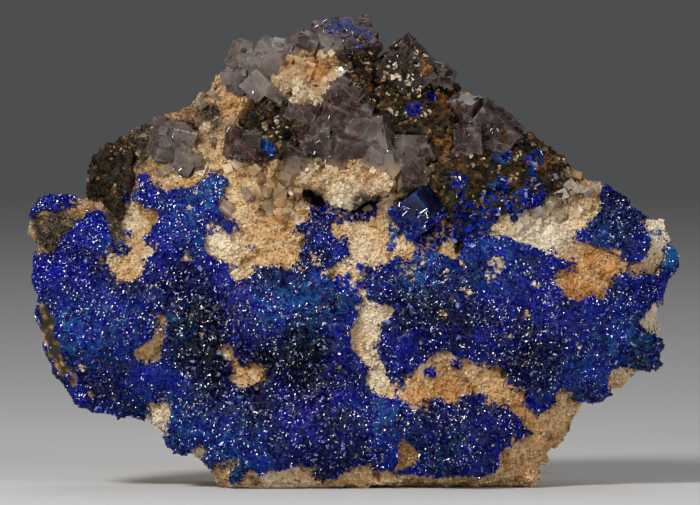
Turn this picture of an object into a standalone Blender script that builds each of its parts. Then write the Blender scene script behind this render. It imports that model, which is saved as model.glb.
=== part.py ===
"""Linarite specimen: a piece of vein rock with blue crusts, dark gossan and fluorite cubes.

The rock stands upright on its flat broken base. Its front faces -Y, +X is to its right and +Z is up.
The origin lies on the base. All lengths below are millimetres; MM turns them into metres.
"""

import math

import bmesh
import bpy
from mathutils import Euler, Matrix, Vector, noise
from mathutils.geometry import delaunay_2d_cdt

MM = 0.001

# Outline of the bare rock seen from the front, clockwise from the left end, as (x, z).
ROCK_OUTLINE = [
    (-54.2, 42.6), (-52.7, 45.9), (-49.8, 47.3), (-46.2, 47.7), (-42.7, 47.9), (-42.6, 50.3),
    (-41.6, 52.8), (-40.2, 54.9), (-38.2, 56.3), (-37.3, 58.7), (-35.6, 60.1), (-32.7, 61.1),
    (-30.0, 62.2), (-26.7, 62.9), (-23.0, 66.2), (-22.3, 67.8), (-20.7, 68.8), (-19.5, 70.3),
    (-16.7, 71.0), (-12.5, 71.3), (-7.8, 71.8), (-3.0, 71.5), (1.0, 70.8), (5.0, 70.0),
    (9.0, 68.6), (13.0, 66.5), (15.9, 65.6), (19.6, 65.0), (21.6, 62.4), (25.0, 58.6),
    (29.1, 56.6), (32.6, 55.2), (34.7, 53.4), (38.2, 51.1), (41.2, 50.6), (44.0, 47.9),
    (45.7, 45.9), (48.2, 44.2), (52.4, 44.4), (53.1, 41.2), (53.8, 38.6), (53.4, 36.8),
    (51.3, 33.8), (51.5, 30.3), (51.2, 24.0), (50.3, 22.8), (50.4, 20.4), (49.3, 19.4),
    (47.2, 18.9), (45.7, 16.7), (41.6, 15.3), (38.2, 15.0), (37.1, 12.0), (35.6, 8.3),
    (32.1, 4.2), (31.6, 2.3), (30.4, 0.9), (23.8, 1.6), (19.3, 1.0), (11.2, 1.6),
    (5.5, 1.0), (0.0, 0.7), (-4.0, 0.2), (-12.5, 0.0), (-20.0, 0.2), (-24.6, 4.9),
    (-29.1, 7.6), (-33.3, 11.6), (-36.5, 13.2), (-41.9, 13.6), (-44.6, 15.0), (-46.4, 17.3),
    (-48.4, 19.8), (-49.4, 22.7), (-49.9, 25.1), (-50.8, 28.1), (-50.6, 31.8), (-51.8, 34.9),
    (-51.3, 37.7), (-51.8, 40.6),
]

# Linarite and gossan crusts as outlines (x, z). Points past the rock's outline wrap the crust over its rim.
LINARITE_LEFT = [
    (-35.0, 52.0), (-33.0, 52.3), (-32.3, 51.2), (-31.7, 49.5), (-29.0, 49.7), (-26.0, 50.2),
    (-24.2, 51.3), (-22.2, 52.3), (-19.7, 51.0), (-21.0, 49.3), (-20.2, 48.3), (-21.8, 47.2),
    (-21.3, 45.2), (-18.2, 44.0), (-18.2, 42.7), (-20.2, 42.2), (-23.7, 44.5), (-23.7, 39.5),
    (-19.8, 37.2), (-19.7, 34.8), (-18.7, 34.5), (-16.0, 35.8), (-15.5, 37.0), (-11.3, 37.0),
    (-9.7, 36.2), (-8.8, 37.7), (-7.3, 41.7), (-8.8, 42.3), (-9.0, 44.0), (-5.8, 44.7),
    (-4.0, 46.2), (-1.8, 45.8), (-3.2, 43.2), (-0.8, 40.8), (0.3, 38.8), (-3.3, 35.8),
    (-1.7, 33.5), (2.2, 32.5), (2.2, 30.3), (0.3, 27.0), (0.3, 24.0), (1.5, 22.2),
    (3.7, 20.2), (3.0, 18.0), (3.7, 16.2), (5.2, 15.3), (9.3, 15.0), (10.3, 13.2),
    (14.2, 15.0), (17.5, 13.2), (17.8, 15.0), (19.3, 16.2), (23.8, 14.7), (27.5, 12.5),
    (30.5, 9.0), (26.0, 7.2), (24.3, 6.2), (25.0, 3.8), (23.8, 2.6), (15.0, 2.4), (8.0, 2.4),
    (4.7, 3.2), (3.5, 4.5), (-0.2, 3.5), (-2.5, 2.2), (-4.7, 1.6), (-6.8, 3.2),
    (-8.3, 4.5), (-10.8, 3.2), (-13.2, 3.5), (-14.7, 2.2), (-16.3, 3.2), (-18.2, 1.2),
    (-20.0, 1.4), (-19.7, 3.2), (-18.2, 5.3), (-21.2, 4.2), (-22.7, 3.0), (-24.5, 4.8),
    (-23.2, 7.0), (-24.7, 7.2), (-27.2, 6.2), (-31.0, 5.5), (-29.8, 9.0), (-29.7, 12.8),
    (-30.5, 14.3), (-34.0, 14.7), (-32.8, 13.2), (-36.0, 9.0), (-44.0, 9.0), (-55.0, 18.0),
    (-56.0, 40.0), (-49.3, 39.0), (-47.8, 41.8), (-45.0, 43.7), (-43.7, 45.5), (-41.3, 45.8),
    (-40.3, 44.0), (-39.2, 40.0), (-40.5, 39.0), (-40.2, 36.3), (-39.2, 35.2), (-36.8, 34.5),
    (-34.2, 35.0), (-34.0, 37.5), (-32.3, 38.8), (-33.0, 39.8), (-34.3, 41.5), (-33.5, 42.2),
    (-31.8, 44.3), (-31.7, 45.7), (-36.0, 47.5), (-34.8, 49.2),
]
LINARITE_LEFT_WINDOWS = [
    [(-30.7, 29.2), (-30.3, 27.3), (-30.8, 25.5), (-31.7, 24.5), (-31.3, 21.7), (-34.7, 20.7),
     (-35.5, 22.8), (-33.8, 24.5), (-32.3, 25.5), (-32.0, 27.3)],
    [(-20.3, 24.2), (-19.3, 23.7), (-18.8, 21.5), (-17.0, 21.0), (-13.8, 20.7), (-14.3, 18.5),
     (-17.5, 16.7), (-20.3, 18.3), (-19.2, 19.5), (-19.5, 21.0), (-21.5, 22.2), (-21.7, 22.8)],
    [(8.5, 9.0), (10.0, 7.2), (12.0, 5.7), (10.0, 4.3), (8.2, 3.6), (7.8, 6.8)],
]
LINARITE_RIGHT = [
    (5.3, 31.0), (3.3, 31.2), (3.3, 33.4), (1.4, 34.3), (2.0, 35.8), (4.2, 36.4), (6.0, 36.5),
    (7.4, 35.7), (9.8, 34.7), (10.6, 35.4), (11.2, 37.2), (12.6, 38.6), (14.2, 39.8), (15.6, 38.8),
    (17.4, 38.2), (18.7, 40.0), (18.9, 42.0), (25.0, 42.2), (30.0, 40.3), (37.5, 37.2),
    (34.2, 35.5), (33.3, 34.2), (35.0, 33.3), (36.0, 31.7), (37.7, 30.8), (40.2, 32.3),
    (41.0, 31.3), (43.3, 33.5), (43.5, 35.2), (45.3, 35.8), (48.3, 35.5), (50.7, 35.8),
    (52.0, 39.2), (56.0, 41.5), (57.0, 36.0), (54.5, 31.0), (50.0, 30.0), (47.7, 27.5),
    (49.2, 25.8), (54.0, 23.0), (54.0, 19.8), (47.5, 19.8), (43.3, 19.8), (42.8, 17.3),
    (41.7, 12.5), (38.3, 14.0), (35.3, 16.7), (33.7, 15.8), (34.2, 14.3), (31.7, 12.5),
    (29.0, 13.2), (28.7, 16.2), (25.3, 16.5), (25.7, 18.0), (25.3, 20.2), (17.8, 21.7),
    (16.0, 23.2), (14.2, 22.5), (12.7, 21.0), (9.3, 18.8), (7.5, 16.5), (6.2, 18.8),
    (4.8, 21.3), (4.8, 24.0), (5.5, 27.3), (7.5, 29.8),
]
LINARITE_UPPER_RIGHT = [
    (41.7, 48.5), (42.0, 50.5), (46.0, 50.5), (47.0, 47.3), (48.4, 45.6), (49.2, 44.0), (48.3, 43.7),
    (49.8, 41.3), (49.7, 39.7), (48.7, 38.3), (47.0, 37.0), (45.3, 37.7), (43.7, 38.5),
    (41.0, 39.8), (37.7, 40.7), (37.3, 42.2), (39.8, 43.8), (41.8, 45.7), (41.5, 47.3),
]
LINARITE_CAP = [
    (-56.0, 44.5), (-54.0, 49.5), (-45.5, 49.5), (-45.4, 46.5), (-48.3, 45.3), (-50.8, 45.8), (-52.8, 44.2),
]
GOSSAN_LEFT = [
    (-42.6, 47.2), (-45.0, 48.6), (-45.0, 53.0), (-39.0, 58.6), (-36.5, 57.6), (-35.4, 54.8),
    (-35.7, 49.6), (-37.0, 47.6), (-37.0, 45.8), (-37.4, 43.9), (-39.2, 44.7), (-40.8, 46.8),
]
GOSSAN_VUG = [
    (-17.2, 64.2), (-14.7, 64.2), (-11.2, 63.3), (-8.3, 61.2), (-5.3, 60.5), (-4.3, 58.8),
    (-5.3, 56.7), (-8.3, 54.7), (-11.7, 54.2), (-14.7, 53.8), (-16.3, 55.8), (-17.2, 58.3),
    (-18.3, 60.8), (-17.8, 62.8),
]
GOSSAN_RIGHT = [
    (4.2, 67.0), (8.0, 64.5), (13.0, 63.5), (16.0, 68.0), (19.5, 66.5), (17.0, 63.0), (17.5, 60.5),
    (21.0, 55.5), (25.0, 57.0), (27.5, 59.5), (35.0, 57.0), (35.2, 52.2), (33.8, 49.2),
    (31.7, 46.7), (27.5, 46.3), (24.2, 45.0), (21.7, 43.3), (18.7, 42.3), (17.0, 43.0),
    (15.0, 46.5), (12.7, 50.0), (14.0, 54.2), (11.3, 57.5), (7.0, 57.5), (5.5, 60.0), (2.7, 64.2),
]

# Deep pits in the rock: outline (x, z) and depth.
PITS = [
    ([(-8.5, 50.8), (-6.5, 50.2), (-4.7, 48.2), (-4.3, 46.3), (-7.0, 47.5), (-8.8, 49.0)], 7.0),
    ([(-1.0, 47.2), (3.3, 49.4), (4.8, 48.4), (2.7, 47.0), (0.3, 46.3)], 6.0),
    ([(10.0, 43.6), (13.2, 43.9), (13.6, 43.0), (11.0, 41.8), (9.8, 42.6)], 4.5),
]
PIT_FLOOR_SCALE = 0.62
PIT_FLOOR_MARGIN = 0.05  # points this near to a floor's outline belong to the floor

# Swells (+) and hollows (-) of the front: x, z, half-width, half-height, how far forward.
FRONT_RELIEF = [
    (-7.0, 68.5, 6.0, 4.0, 3.2),  # cream druse hump under the peak
    (-19.3, 62.5, 1.6, 6.0, 1.8),  # yellow rib left of the dark hollow
    (-11.3, 59.2, 6.0, 4.0, -4.0),  # dark hollow
    (-0.8, 51.6, 7.5, 2.4, 3.2),  # cream ledge above the pits
    (-39.2, 50.0, 5.0, 7.0, -2.2),  # dark left flank
    (-50.0, 43.5, 4.0, 3.5, 1.5),  # left lump
    (-45.5, 45.5, 2.5, 2.5, -1.6),  # groove beside the left lump
    (-40.0, 30.0, 12.0, 9.0, 2.6),  # left blue swell
    (-36.5, 40.0, 3.0, 5.0, -1.6),  # tan window on the left
    (-27.0, 42.0, 5.0, 5.0, 1.6),
    (-25.0, 30.0, 3.5, 7.0, -1.3),
    (-15.0, 27.0, 8.0, 6.0, 1.8),
    (-17.5, 20.5, 3.0, 3.0, -1.5),  # orange window
    (-32.0, 23.5, 2.5, 4.0, -1.3),  # orange sliver
    (-8.0, 9.5, 14.0, 5.0, 1.8),  # lower blue swell
    (17.0, 8.0, 8.0, 4.5, 1.6),
    (17.0, 31.0, 9.0, 5.0, 1.8),
    (36.0, 25.0, 11.0, 7.0, 2.2),  # right blue swell
    (15.0, 17.5, 12.0, 3.5, -1.8),  # cream and orange band
    (30.5, 7.0, 6.0, 6.0, -1.8),
    (2.5, 25.0, 2.5, 7.0, -1.4),  # upright cream strip
    (31.0, 43.5, 8.0, 3.5, -1.2),  # cream wedge
    (40.0, 34.5, 4.5, 3.0, -1.6),  # tan window on the right
    (44.5, 44.0, 4.0, 4.0, 1.6),  # upper right blue patch
    (27.0, 51.5, 7.0, 3.0, 1.4),  # gossan ridge
]
FRONT_ROUGHNESS = [(10.0, 1.3), (4.6, 0.7)]  # wavelength, height
RIM_ROUGHNESS = 0.3  # share of the roughness left at the rim
RIM_ROUGHNESS_REACH = 2.0  # distance from the rim over which the roughness grows by its full height

# The rim of the front lies this far forward of the middle plane at each height (z, forward).
RIM_FORWARD = [(0.0, 13.0), (8.0, 9.0), (20.0, 5.0), (45.0, 2.5), (60.0, 0.0), (78.0, -3.0)]
EDGE_RISE = 11.0  # how far the middle of the front stands forward of its rim
EDGE_ROUNDING = 8.0  # distance from the rim over which it rises

# The rough back, and the flat faces along which the rock broke: direction (x, y, z), distance from the centre.
BACK_DEPTH = 23.0
THINNEST_EDGE = 6.0
BACK_ROUGHNESS = [(11.0, 1.7), (5.0, 1.2)]
BODY_CENTRE = (0.0, 3.0, 26.0)
BREAKS = [
    ((-0.70, 0.68, 0.20), 36.5), ((0.74, 0.63, 0.22), 38.0), ((0.35, 0.68, 0.64), 34.0),
    ((-0.42, 0.66, 0.62), 34.0), ((0.05, 0.86, 0.51), 27.0), ((-0.35, 0.93, -0.10), 21.0),
    ((0.28, 0.95, 0.10), 20.0), ((-0.10, 0.91, -0.40), 23.5), ((0.55, 0.82, -0.15), 27.5),
]
# Rings between the front rim and the back: share of the way back, shrinking to the centre, and smoothing.
SIDE_RINGS = [(0.16, 0.004, 0), (0.5, 0.025, 2), (0.8, 0.07, 4), (1.0, 0.15, 6)]
SIDE_ROUGHNESS = 0.05
SIDE_WAVELENGTH = 5.5
BASE_ENDS = (-22.0, 31.0)
BASE_RIM_HEIGHT = 2.0  # rim points lower than this belong to the flat base

# Spacing of the surface points. The grid's jitter and its clearance from outlines are shares of the spacing.
FRONT_SPACING = 2.75
BACK_SPACING = 4.4
OUTLINE_SPACING = 2.6
GRID_JITTER = 0.5
GRID_CLEARANCE = 0.42
SAME_POINT = 1e-4  # flat points nearer to each other than this are one
NOISE_SEED = 5  # fixes the grid's jitter, so that every run gives the same part

# Where the noise is read along Y, so that front, back, sides and grid differ.
FRONT_NOISE_Y = 3.0
BACK_NOISE_Y = 40.0
SIDE_NOISE_Y = 50.0
GRID_NOISE_Y = 7.0

CRUST_GAP = 0.35  # between a crust and the rock
LINARITE_THICKNESS = 1.0
GOSSAN_THICKNESS = 1.3
CRUST_EDGE_THICKNESS = 0.45
CRUST_ROUGHNESS = 0.45
CRUST_LUMP_SIZE = 2.1
CRUST_EDGE_INSET = 0.3
WRAP_INSET = 0.02  # share by which rim places are drawn in before they are compared with a crust's outline

# Fluorite cubes: x, z, centre's height above the rock's front, edge, turns about X, Y and Z in degrees.
FLUORITE_MAIN = [
    (-0.8, 71.5, -1.0, 9.2, (33, -6, 10)),  # peak cube
    (9.2, 69.0, 0.0, 8.3, (12, 45, 0)),  # dark coated cube
    (15.2, 68.2, -0.5, 3.0, (10, 15, 20)),
    (-7.2, 73.4, -0.5, 3.4, (25, 20, 0)),
    (-1.2, 65.7, 0.6, 6.2, (15, 42, 0)),
    (0.3, 67.9, 0.2, 5.2, (20, 30, 0)),
    (-7.0, 63.2, 0.6, 5.2, (20, 30, -15)),
    (0.8, 62.2, 0.4, 5.4, (30, 20, 0)),
    (-3.0, 60.0, 0.2, 6.6, (10, 20, 30)),
    (3.5, 58.5, 1.0, 6.6, (5, -8, -15)),
    (5.0, 53.6, 0.6, 6.2, (20, 35, 0)),
    (-0.5, 55.8, 0.0, 7.0, (25, 10, 20)),
    (-5.3, 56.8, 0.2, 5.2, (15, -20, 0)),
    (-8.6, 53.4, 0.2, 5.0, (20, 15, 10)),
    (9.5, 56.2, 1.0, 4.8, (0, 2, 32)),
    (9.3, 52.4, 1.2, 4.8, (-5, -2, 32)),
    (12.8, 55.5, 0.5, 2.8, (10, -20, -20)),
]
FLUORITE_UPPER_LEFT = [
    (-17.6, 71.2, -0.6, 4.3, (10, 20, 25)),
    (-14.2, 72.6, -0.8, 3.1, (20, 40, 0)),
    (-14.7, 69.0, 0.6, 5.8, (15, -15, 20)),
    (-11.2, 71.4, -0.8, 4.4, (25, 10, -10)),
    (-15.3, 66.9, 1.2, 4.2, (10, 45, 0)),
    (-18.3, 67.5, 0.2, 3.6, (5, -12, 30)),
    (-12.3, 66.0, 0.6, 3.2, (15, 30, 15)),
]
FLUORITE_SHOULDER = [
    (23.2, 58.3, -0.4, 8.0, (12, 38, 0)),
    (19.0, 57.6, 1.0, 4.7, (5, -5, 15)),
    (18.9, 62.2, -0.2, 4.7, (15, 8, -20)),
]
FLUORITE_LEFT = [
    (-29.7, 57.3, 0.0, 6.0, (15, 12, 20)),
    (-27.3, 54.2, 0.3, 3.4, (20, 30, 0)),
]
FLUORITE_HOLLOW = [
    (-17.9, 57.2, 1.0, 4.6, (5, 5, 25)),
]
BLUE_CRYSTAL = [
    (11.3, 46.0, 0.6, 6.2, (24, 54, 0)),
]
SOCKET_CLEARANCE = 0.3
SHORTEST_EDGE = 0.05  # shorter edges left by the sockets are closed up


def mix(start, end, share):
    return start + (end - start) * share


def ramp(table, value):
    """Reads a table of (position, result) pairs with straight runs between them."""
    for (low, low_result), (high, high_result) in zip(table, table[1:]):
        if value <= high:
            share = max(0.0, (value - low) / (high - low))
            return mix(low_result, high_result, share)
    return table[-1][1]


def waviness(x, y, z, layers):
    """Smooth random relief: the sum of noise layers, each a wavelength and a height."""
    return sum(height * noise.noise(Vector((x, y, z)) / wavelength) for wavelength, height in layers)


def divided(outline, spacing):
    """The closed outline with extra points, so that no side is longer than the spacing."""
    points = []
    for start, end in zip(outline, outline[1:] + outline[:1]):
        length = math.dist(start, end)
        steps = max(1, math.ceil(length / spacing))
        for step in range(steps):
            points.append((mix(start[0], end[0], step / steps), mix(start[1], end[1], step / steps)))
    return points


def inside(outline, x, z):
    """Whether the point lies inside the closed outline."""
    crossings = 0
    for (x1, z1), (x2, z2) in zip(outline, outline[1:] + outline[:1]):
        if (z1 > z) != (z2 > z) and x < x1 + (z - z1) * (x2 - x1) / (z2 - z1):
            crossings += 1
    return crossings % 2 == 1


def distance_to(outline, x, z):
    """Distance from the point to the nearest side of the closed outline."""
    nearest = math.inf
    for (x1, z1), (x2, z2) in zip(outline, outline[1:] + outline[:1]):
        dx, dz = x2 - x1, z2 - z1
        share = max(0.0, min(1.0, ((x - x1) * dx + (z - z1) * dz) / (dx * dx + dz * dz)))
        nearest = min(nearest, math.hypot(x - x1 - share * dx, z - z1 - share * dz))
    return nearest


def pit_floor(outline):
    """The outline of a pit's floor: the pit's mouth drawn in towards its middle."""
    middle_x = sum(x for x, z in outline) / len(outline)
    middle_z = sum(z for x, z in outline) / len(outline)
    return [(mix(middle_x, x, PIT_FLOOR_SCALE), mix(middle_z, z, PIT_FLOOR_SCALE)) for x, z in outline]


def pit_depth(x, z):
    for outline, depth in PITS:
        floor = pit_floor(outline)
        if inside(floor, x, z) or distance_to(floor, x, z) < PIT_FLOOR_MARGIN:
            return depth
    return 0.0


def front_y(x, z):
    """The rock's front surface."""
    edge = distance_to(ROCK_OUTLINE, x, z)
    forward = ramp(RIM_FORWARD, z) + EDGE_RISE * (1 - math.exp(-edge / EDGE_ROUNDING))
    for centre_x, centre_z, half_width, half_height, rise in FRONT_RELIEF:
        away = ((x - centre_x) / half_width) ** 2 + ((z - centre_z) / half_height) ** 2
        forward += rise * math.exp(-away)
    rough_share = min(1.0, RIM_ROUGHNESS + edge / RIM_ROUGHNESS_REACH)
    forward += rough_share * waviness(x, FRONT_NOISE_Y, z, FRONT_ROUGHNESS)
    return pit_depth(x, z) - forward


def back_y(x, z):
    """The rock's back: the nearest of the flat faces along which it broke."""
    centre_x, centre_y, centre_z = BODY_CENTRE
    depth = BACK_DEPTH
    for (along_x, along_y, along_z), distance in BREAKS:
        face = (distance - along_x * (x - centre_x) - along_z * (z - centre_z)) / along_y
        depth = min(depth, centre_y + face)
    thinnest = THINNEST_EDGE - ramp(RIM_FORWARD, z)
    return max(thinnest, depth) + waviness(x, BACK_NOISE_Y, z, BACK_ROUGHNESS)


def grid_points(outline, spacing, kept_clear):
    """Points in staggered rows inside the outline, none near the sides of the outlines kept clear."""
    xs = [x for x, z in outline]
    zs = [z for x, z in outline]
    points = []
    row_height = spacing * math.sqrt(0.75)
    for row in range(int((max(zs) - min(zs)) / row_height) + 1):
        z = min(zs) + row * row_height
        for column in range(int((max(xs) - min(xs)) / spacing) + 1):
            x = min(xs) + (column + 0.5 * (row % 2)) * spacing
            shift = noise.noise_vector(Vector((x, GRID_NOISE_Y, z))) * GRID_JITTER * spacing
            place = (x + shift.x, z + shift.z)
            clear = all(distance_to(other, *place) > GRID_CLEARANCE * spacing for other in kept_clear)
            if clear and inside(outline, *place):
                points.append(place)
    return points


def triangulated(outline, inner_outlines, spacing):
    """Triangles inside the outline whose sides follow all the outlines: (points, triangles)."""
    points = []
    sides = []
    for closed in [outline] + inner_outlines:
        first = len(points)
        points += closed
        sides += [(first + i, first + (i + 1) % len(closed)) for i in range(len(closed))]
    points += grid_points(outline, spacing, [outline] + inner_outlines)
    flat = [Vector(point) for point in points]
    made_points, _, made_faces, *_ = delaunay_2d_cdt(flat, sides, [], 0, SAME_POINT)
    made_points = [tuple(point) for point in made_points]
    kept = []
    for face in made_faces:
        middle_x = sum(made_points[i][0] for i in face) / 3
        middle_z = sum(made_points[i][1] for i in face) / 3
        if inside(outline, middle_x, middle_z):
            kept.append(tuple(face))
    return made_points, kept


def rim_of(triangles):
    """The triangles' outer loop of points, in the direction in which their sides run."""
    sides = {(a, b) for face in triangles for a, b in zip(face, face[1:] + face[:1])}
    following = {a: b for a, b in sides if (b, a) not in sides}
    start = next(iter(following))
    loop = [start]
    while following[loop[-1]] != start:
        loop.append(following[loop[-1]])
    return loop


def material(name, colour, roughness, metallic=0.0):
    made = bpy.data.materials.new(name)
    made.use_nodes = True
    shader = made.node_tree.nodes["Principled BSDF"]
    shader.inputs["Base Color"].default_value = (*colour, 1.0)
    shader.inputs["Roughness"].default_value = roughness
    shader.inputs["Metallic"].default_value = metallic
    return made


def add_object(name, mesh, finish):
    mesh.materials.append(finish)
    obj = bpy.data.objects.new(name, mesh)
    bpy.context.scene.collection.objects.link(obj)
    return obj


def mesh_from(name, points, faces):
    """A mesh from points in millimetres."""
    mesh = bpy.data.meshes.new(name)
    mesh.from_pydata([Vector(point) * MM for point in points], [], faces)
    return mesh


def side_ring(rim, share, shrink, smoothing):
    """One ring of side points behind the front's rim points."""
    ring = []
    for i, (x, y, z) in enumerate(rim):
        near = [rim[(i + step) % len(rim)] for step in range(-smoothing, smoothing + 1)]
        smooth_x = sum(place[0] for place in near) / len(near)
        smooth_z = sum(place[2] for place in near) / len(near)
        rough = 0.5 + 0.5 * noise.noise(Vector((x, SIDE_NOISE_Y * share, z)) / SIDE_WAVELENGTH)
        inward = shrink + SIDE_ROUGHNESS * share * rough
        ring_x = mix(smooth_x, BODY_CENTRE[0], inward)
        ring_z = mix(smooth_z, BODY_CENTRE[2], inward)
        if z < BASE_RIM_HEIGHT and BASE_ENDS[0] < x < BASE_ENDS[1]:
            ring_z = 0.0
        ring.append((ring_x, mix(y, back_y(ring_x, ring_z), share), ring_z))
    return ring


def rock_shell():
    """The rock's points and triangles, its front triangles' number, its rim strip and its front's normals."""
    crusts = [LINARITE_LEFT, *LINARITE_LEFT_WINDOWS, LINARITE_RIGHT, LINARITE_UPPER_RIGHT, LINARITE_CAP,
              GOSSAN_LEFT, GOSSAN_VUG, GOSSAN_RIGHT]
    lines = [divided(outline, OUTLINE_SPACING) for outline in crusts]
    lines += [divided(outline, OUTLINE_SPACING) for outline, _ in PITS]
    lines += [divided(pit_floor(outline), OUTLINE_SPACING) for outline, _ in PITS]
    flat, front_faces = triangulated(divided(ROCK_OUTLINE, OUTLINE_SPACING), lines, FRONT_SPACING)
    used = sorted({i for face in front_faces for i in face})
    number = {old: new for new, old in enumerate(used)}
    points = [(flat[i][0], front_y(*flat[i]), flat[i][1]) for i in used]
    faces = [tuple(number[i] for i in face) for face in front_faces]
    front_count = len(faces)

    loop = rim_of(faces)
    rim = [points[i] for i in loop]
    strips = []
    previous = loop
    for share, shrink, smoothing in SIDE_RINGS:
        ring = range(len(points), len(points) + len(loop))
        points += side_ring(rim, share, shrink, smoothing)
        strip = []
        for i in range(len(loop)):
            j = (i + 1) % len(loop)
            strip.append((previous[j], previous[i], ring[i]))
            strip.append((previous[j], ring[i], ring[j]))
        strips.append(strip)
        faces += strip
        previous = list(ring)

    back_outline = [(points[i][0], points[i][2]) for i in previous]
    back_flat, back_faces = triangulated(back_outline, [], BACK_SPACING)
    rim_number = {i: ring_number for i, ring_number in enumerate(previous)}
    first = len(points)
    for place in back_flat[len(previous):]:
        points.append((place[0], back_y(*place), place[1]))
    for face in back_faces:
        a, b, c = (rim_number[i] if i in rim_number else first + i - len(previous) for i in face)
        faces.append((a, c, b))
    normals = outward_normals(points, faces[:front_count] + strips[0])
    return points, faces, front_count, strips[0], normals


def outward_normals(points, faces):
    """The rock's outward direction at each point of the faces."""
    normals = {}
    for face in faces:
        a, b, c = (Vector(points[i]) for i in face)
        normal = (b - a).cross(c - a)
        for i in face:
            normals[i] = normals.get(i, Vector()) + normal
    return {i: normal.normalized() for i, normal in normals.items()}


def build_rock(points, faces):
    mesh = mesh_from("matrix", points, faces)
    finish = material("cream rock", (0.62, 0.50, 0.35), 0.75)
    return add_object("matrix", mesh, finish)


def crust_faces(points, faces, front_count, rim_strip, outline, windows):
    """The rock's front faces under a crust, with the strip where it wraps over the rim."""

    def covered(x, z):
        return inside(outline, x, z) and not any(inside(window, x, z) for window in windows)

    chosen = []
    for face in faces[:front_count]:
        middle_x = sum(points[i][0] for i in face) / 3
        middle_z = sum(points[i][2] for i in face) / 3
        if covered(middle_x, middle_z):
            chosen.append(face)
    for first, second in zip(rim_strip[::2], rim_strip[1::2]):
        x = (points[first[0]][0] + points[first[1]][0]) / 2
        z = (points[first[0]][2] + points[first[1]][2]) / 2
        x = mix(x, BODY_CENTRE[0], WRAP_INSET)
        z = mix(z, BODY_CENTRE[2], WRAP_INSET)
        if covered(x, z) and z > BASE_RIM_HEIGHT:
            chosen += [first, second]
    return without_pinches(chosen)


def without_pinches(chosen):
    """The faces, less those that touch the rest only at one point."""
    while True:
        sides = {(a, b) for face in chosen for a, b in zip(face, face[1:] + face[:1])}
        leaving = [a for a, b in sides if (b, a) not in sides]
        pinched = {point for point in leaving if leaving.count(point) > 1}
        if not pinched:
            return chosen
        point = min(pinched)
        around = [face for face in chosen if point in face]
        groups = []
        for face in around:
            joined = [group for group in groups if any(len(set(face) & set(other)) > 1 for other in group)]
            groups = [group for group in groups if group not in joined]
            groups.append([face] + [other for group in joined for other in group])
        smallest = min(groups, key=len)
        chosen = [face for face in chosen if face not in smallest]


def build_crust(name, shell, outline, windows, thickness, finish):
    """A crust that follows the rock's front at a small gap, thin along its edge and lumpy on top."""
    points, faces, front_count, rim_strip, normals = shell
    chosen = crust_faces(points, faces, front_count, rim_strip, outline, windows)
    towards = {}
    for face in chosen:
        middle = sum((Vector(points[i]) for i in face), Vector()) / 3
        for i in face:
            towards[i] = towards.get(i, Vector()) + (middle - Vector(points[i]))
    sides = {(a, b) for face in chosen for a, b in zip(face, face[1:] + face[:1])}
    edge_points = {a for a, b in sides if (b, a) not in sides}

    used = sorted(towards)
    number = {old: new for new, old in enumerate(used)}
    under = []
    top = []
    for i in used:
        place = Vector(points[i])
        normal = normals[i]
        if i in edge_points:
            place += towards[i].normalized() * CRUST_EDGE_INSET
            height = CRUST_EDGE_THICKNESS
        else:
            height = thickness + CRUST_ROUGHNESS * noise.noise(place / CRUST_LUMP_SIZE)
        under.append(place + normal * CRUST_GAP)
        top.append(place + normal * (CRUST_GAP + height))
    count = len(used)
    solid_faces = []
    for face in chosen:
        a, b, c = (number[i] for i in face)
        solid_faces.append((c, b, a))
        solid_faces.append((a + count, b + count, c + count))
    for a, b in sides:
        if (b, a) not in sides:
            solid_faces.append((number[a], number[b], number[b] + count, number[a] + count))
    return add_object(name, mesh_from(name, under + top, solid_faces), finish)


def cube_mesh(x, z, proud, edge, turns):
    """One fluorite cube, its centre a little in front of the rock's surface."""
    centre = Vector((x, front_y(x, z) - proud, z)) * MM
    turn = Euler([math.radians(angle) for angle in turns]).to_matrix().to_4x4()
    solid = bmesh.new()
    bmesh.ops.create_cube(solid, size=edge * MM, matrix=Matrix.Translation(centre) @ turn)
    mesh = bpy.data.meshes.new("cube")
    solid.to_mesh(mesh)
    solid.free()
    return mesh


def joined_cubes(name, cubes, growth):
    """A helper object: all the cubes made larger by the growth on every side and joined in one solid."""
    rest = bpy.data.collections.new(name + " cubes")
    bpy.context.scene.collection.children.link(rest)
    first = None
    for x, z, proud, edge, turns in cubes:
        cube = bpy.data.objects.new(name, cube_mesh(x, z, proud, edge + 2 * growth, turns))
        if first is None:
            bpy.context.scene.collection.objects.link(cube)
            first = cube
        else:
            rest.objects.link(cube)
        hide(cube)
    if len(cubes) > 1:
        union = first.modifiers.new("grown together", "BOOLEAN")
        union.operation = "UNION"
        union.operand_type = "COLLECTION"
        union.collection = rest
    return first


def hide(helper):
    helper.hide_render = True
    helper.display_type = "WIRE"


def evaluated_mesh(obj):
    bpy.context.view_layer.update()
    graph = bpy.context.evaluated_depsgraph_get()
    return bpy.data.meshes.new_from_object(obj.evaluated_get(graph))


def build_crystals(name, cubes, finish):
    """Fluorite cubes grown together, and the cutter for their socket in the rock."""
    mesh = evaluated_mesh(joined_cubes(name + " solid", cubes, 0.0))
    mesh.materials.clear()
    crystals = add_object(name, mesh, finish)
    cutter = joined_cubes(name + " socket", cubes, SOCKET_CLEARANCE)
    return crystals, cutter


def box_of(obj):
    corners = [obj.matrix_world @ Vector(corner) for corner in obj.bound_box]
    return [(min(c[axis] for c in corners), max(c[axis] for c in corners)) for axis in range(3)]


def boxes_meet(first, second):
    return all(low <= other_high and other_low <= high
               for (low, high), (other_low, other_high) in zip(box_of(first), box_of(second)))


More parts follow.
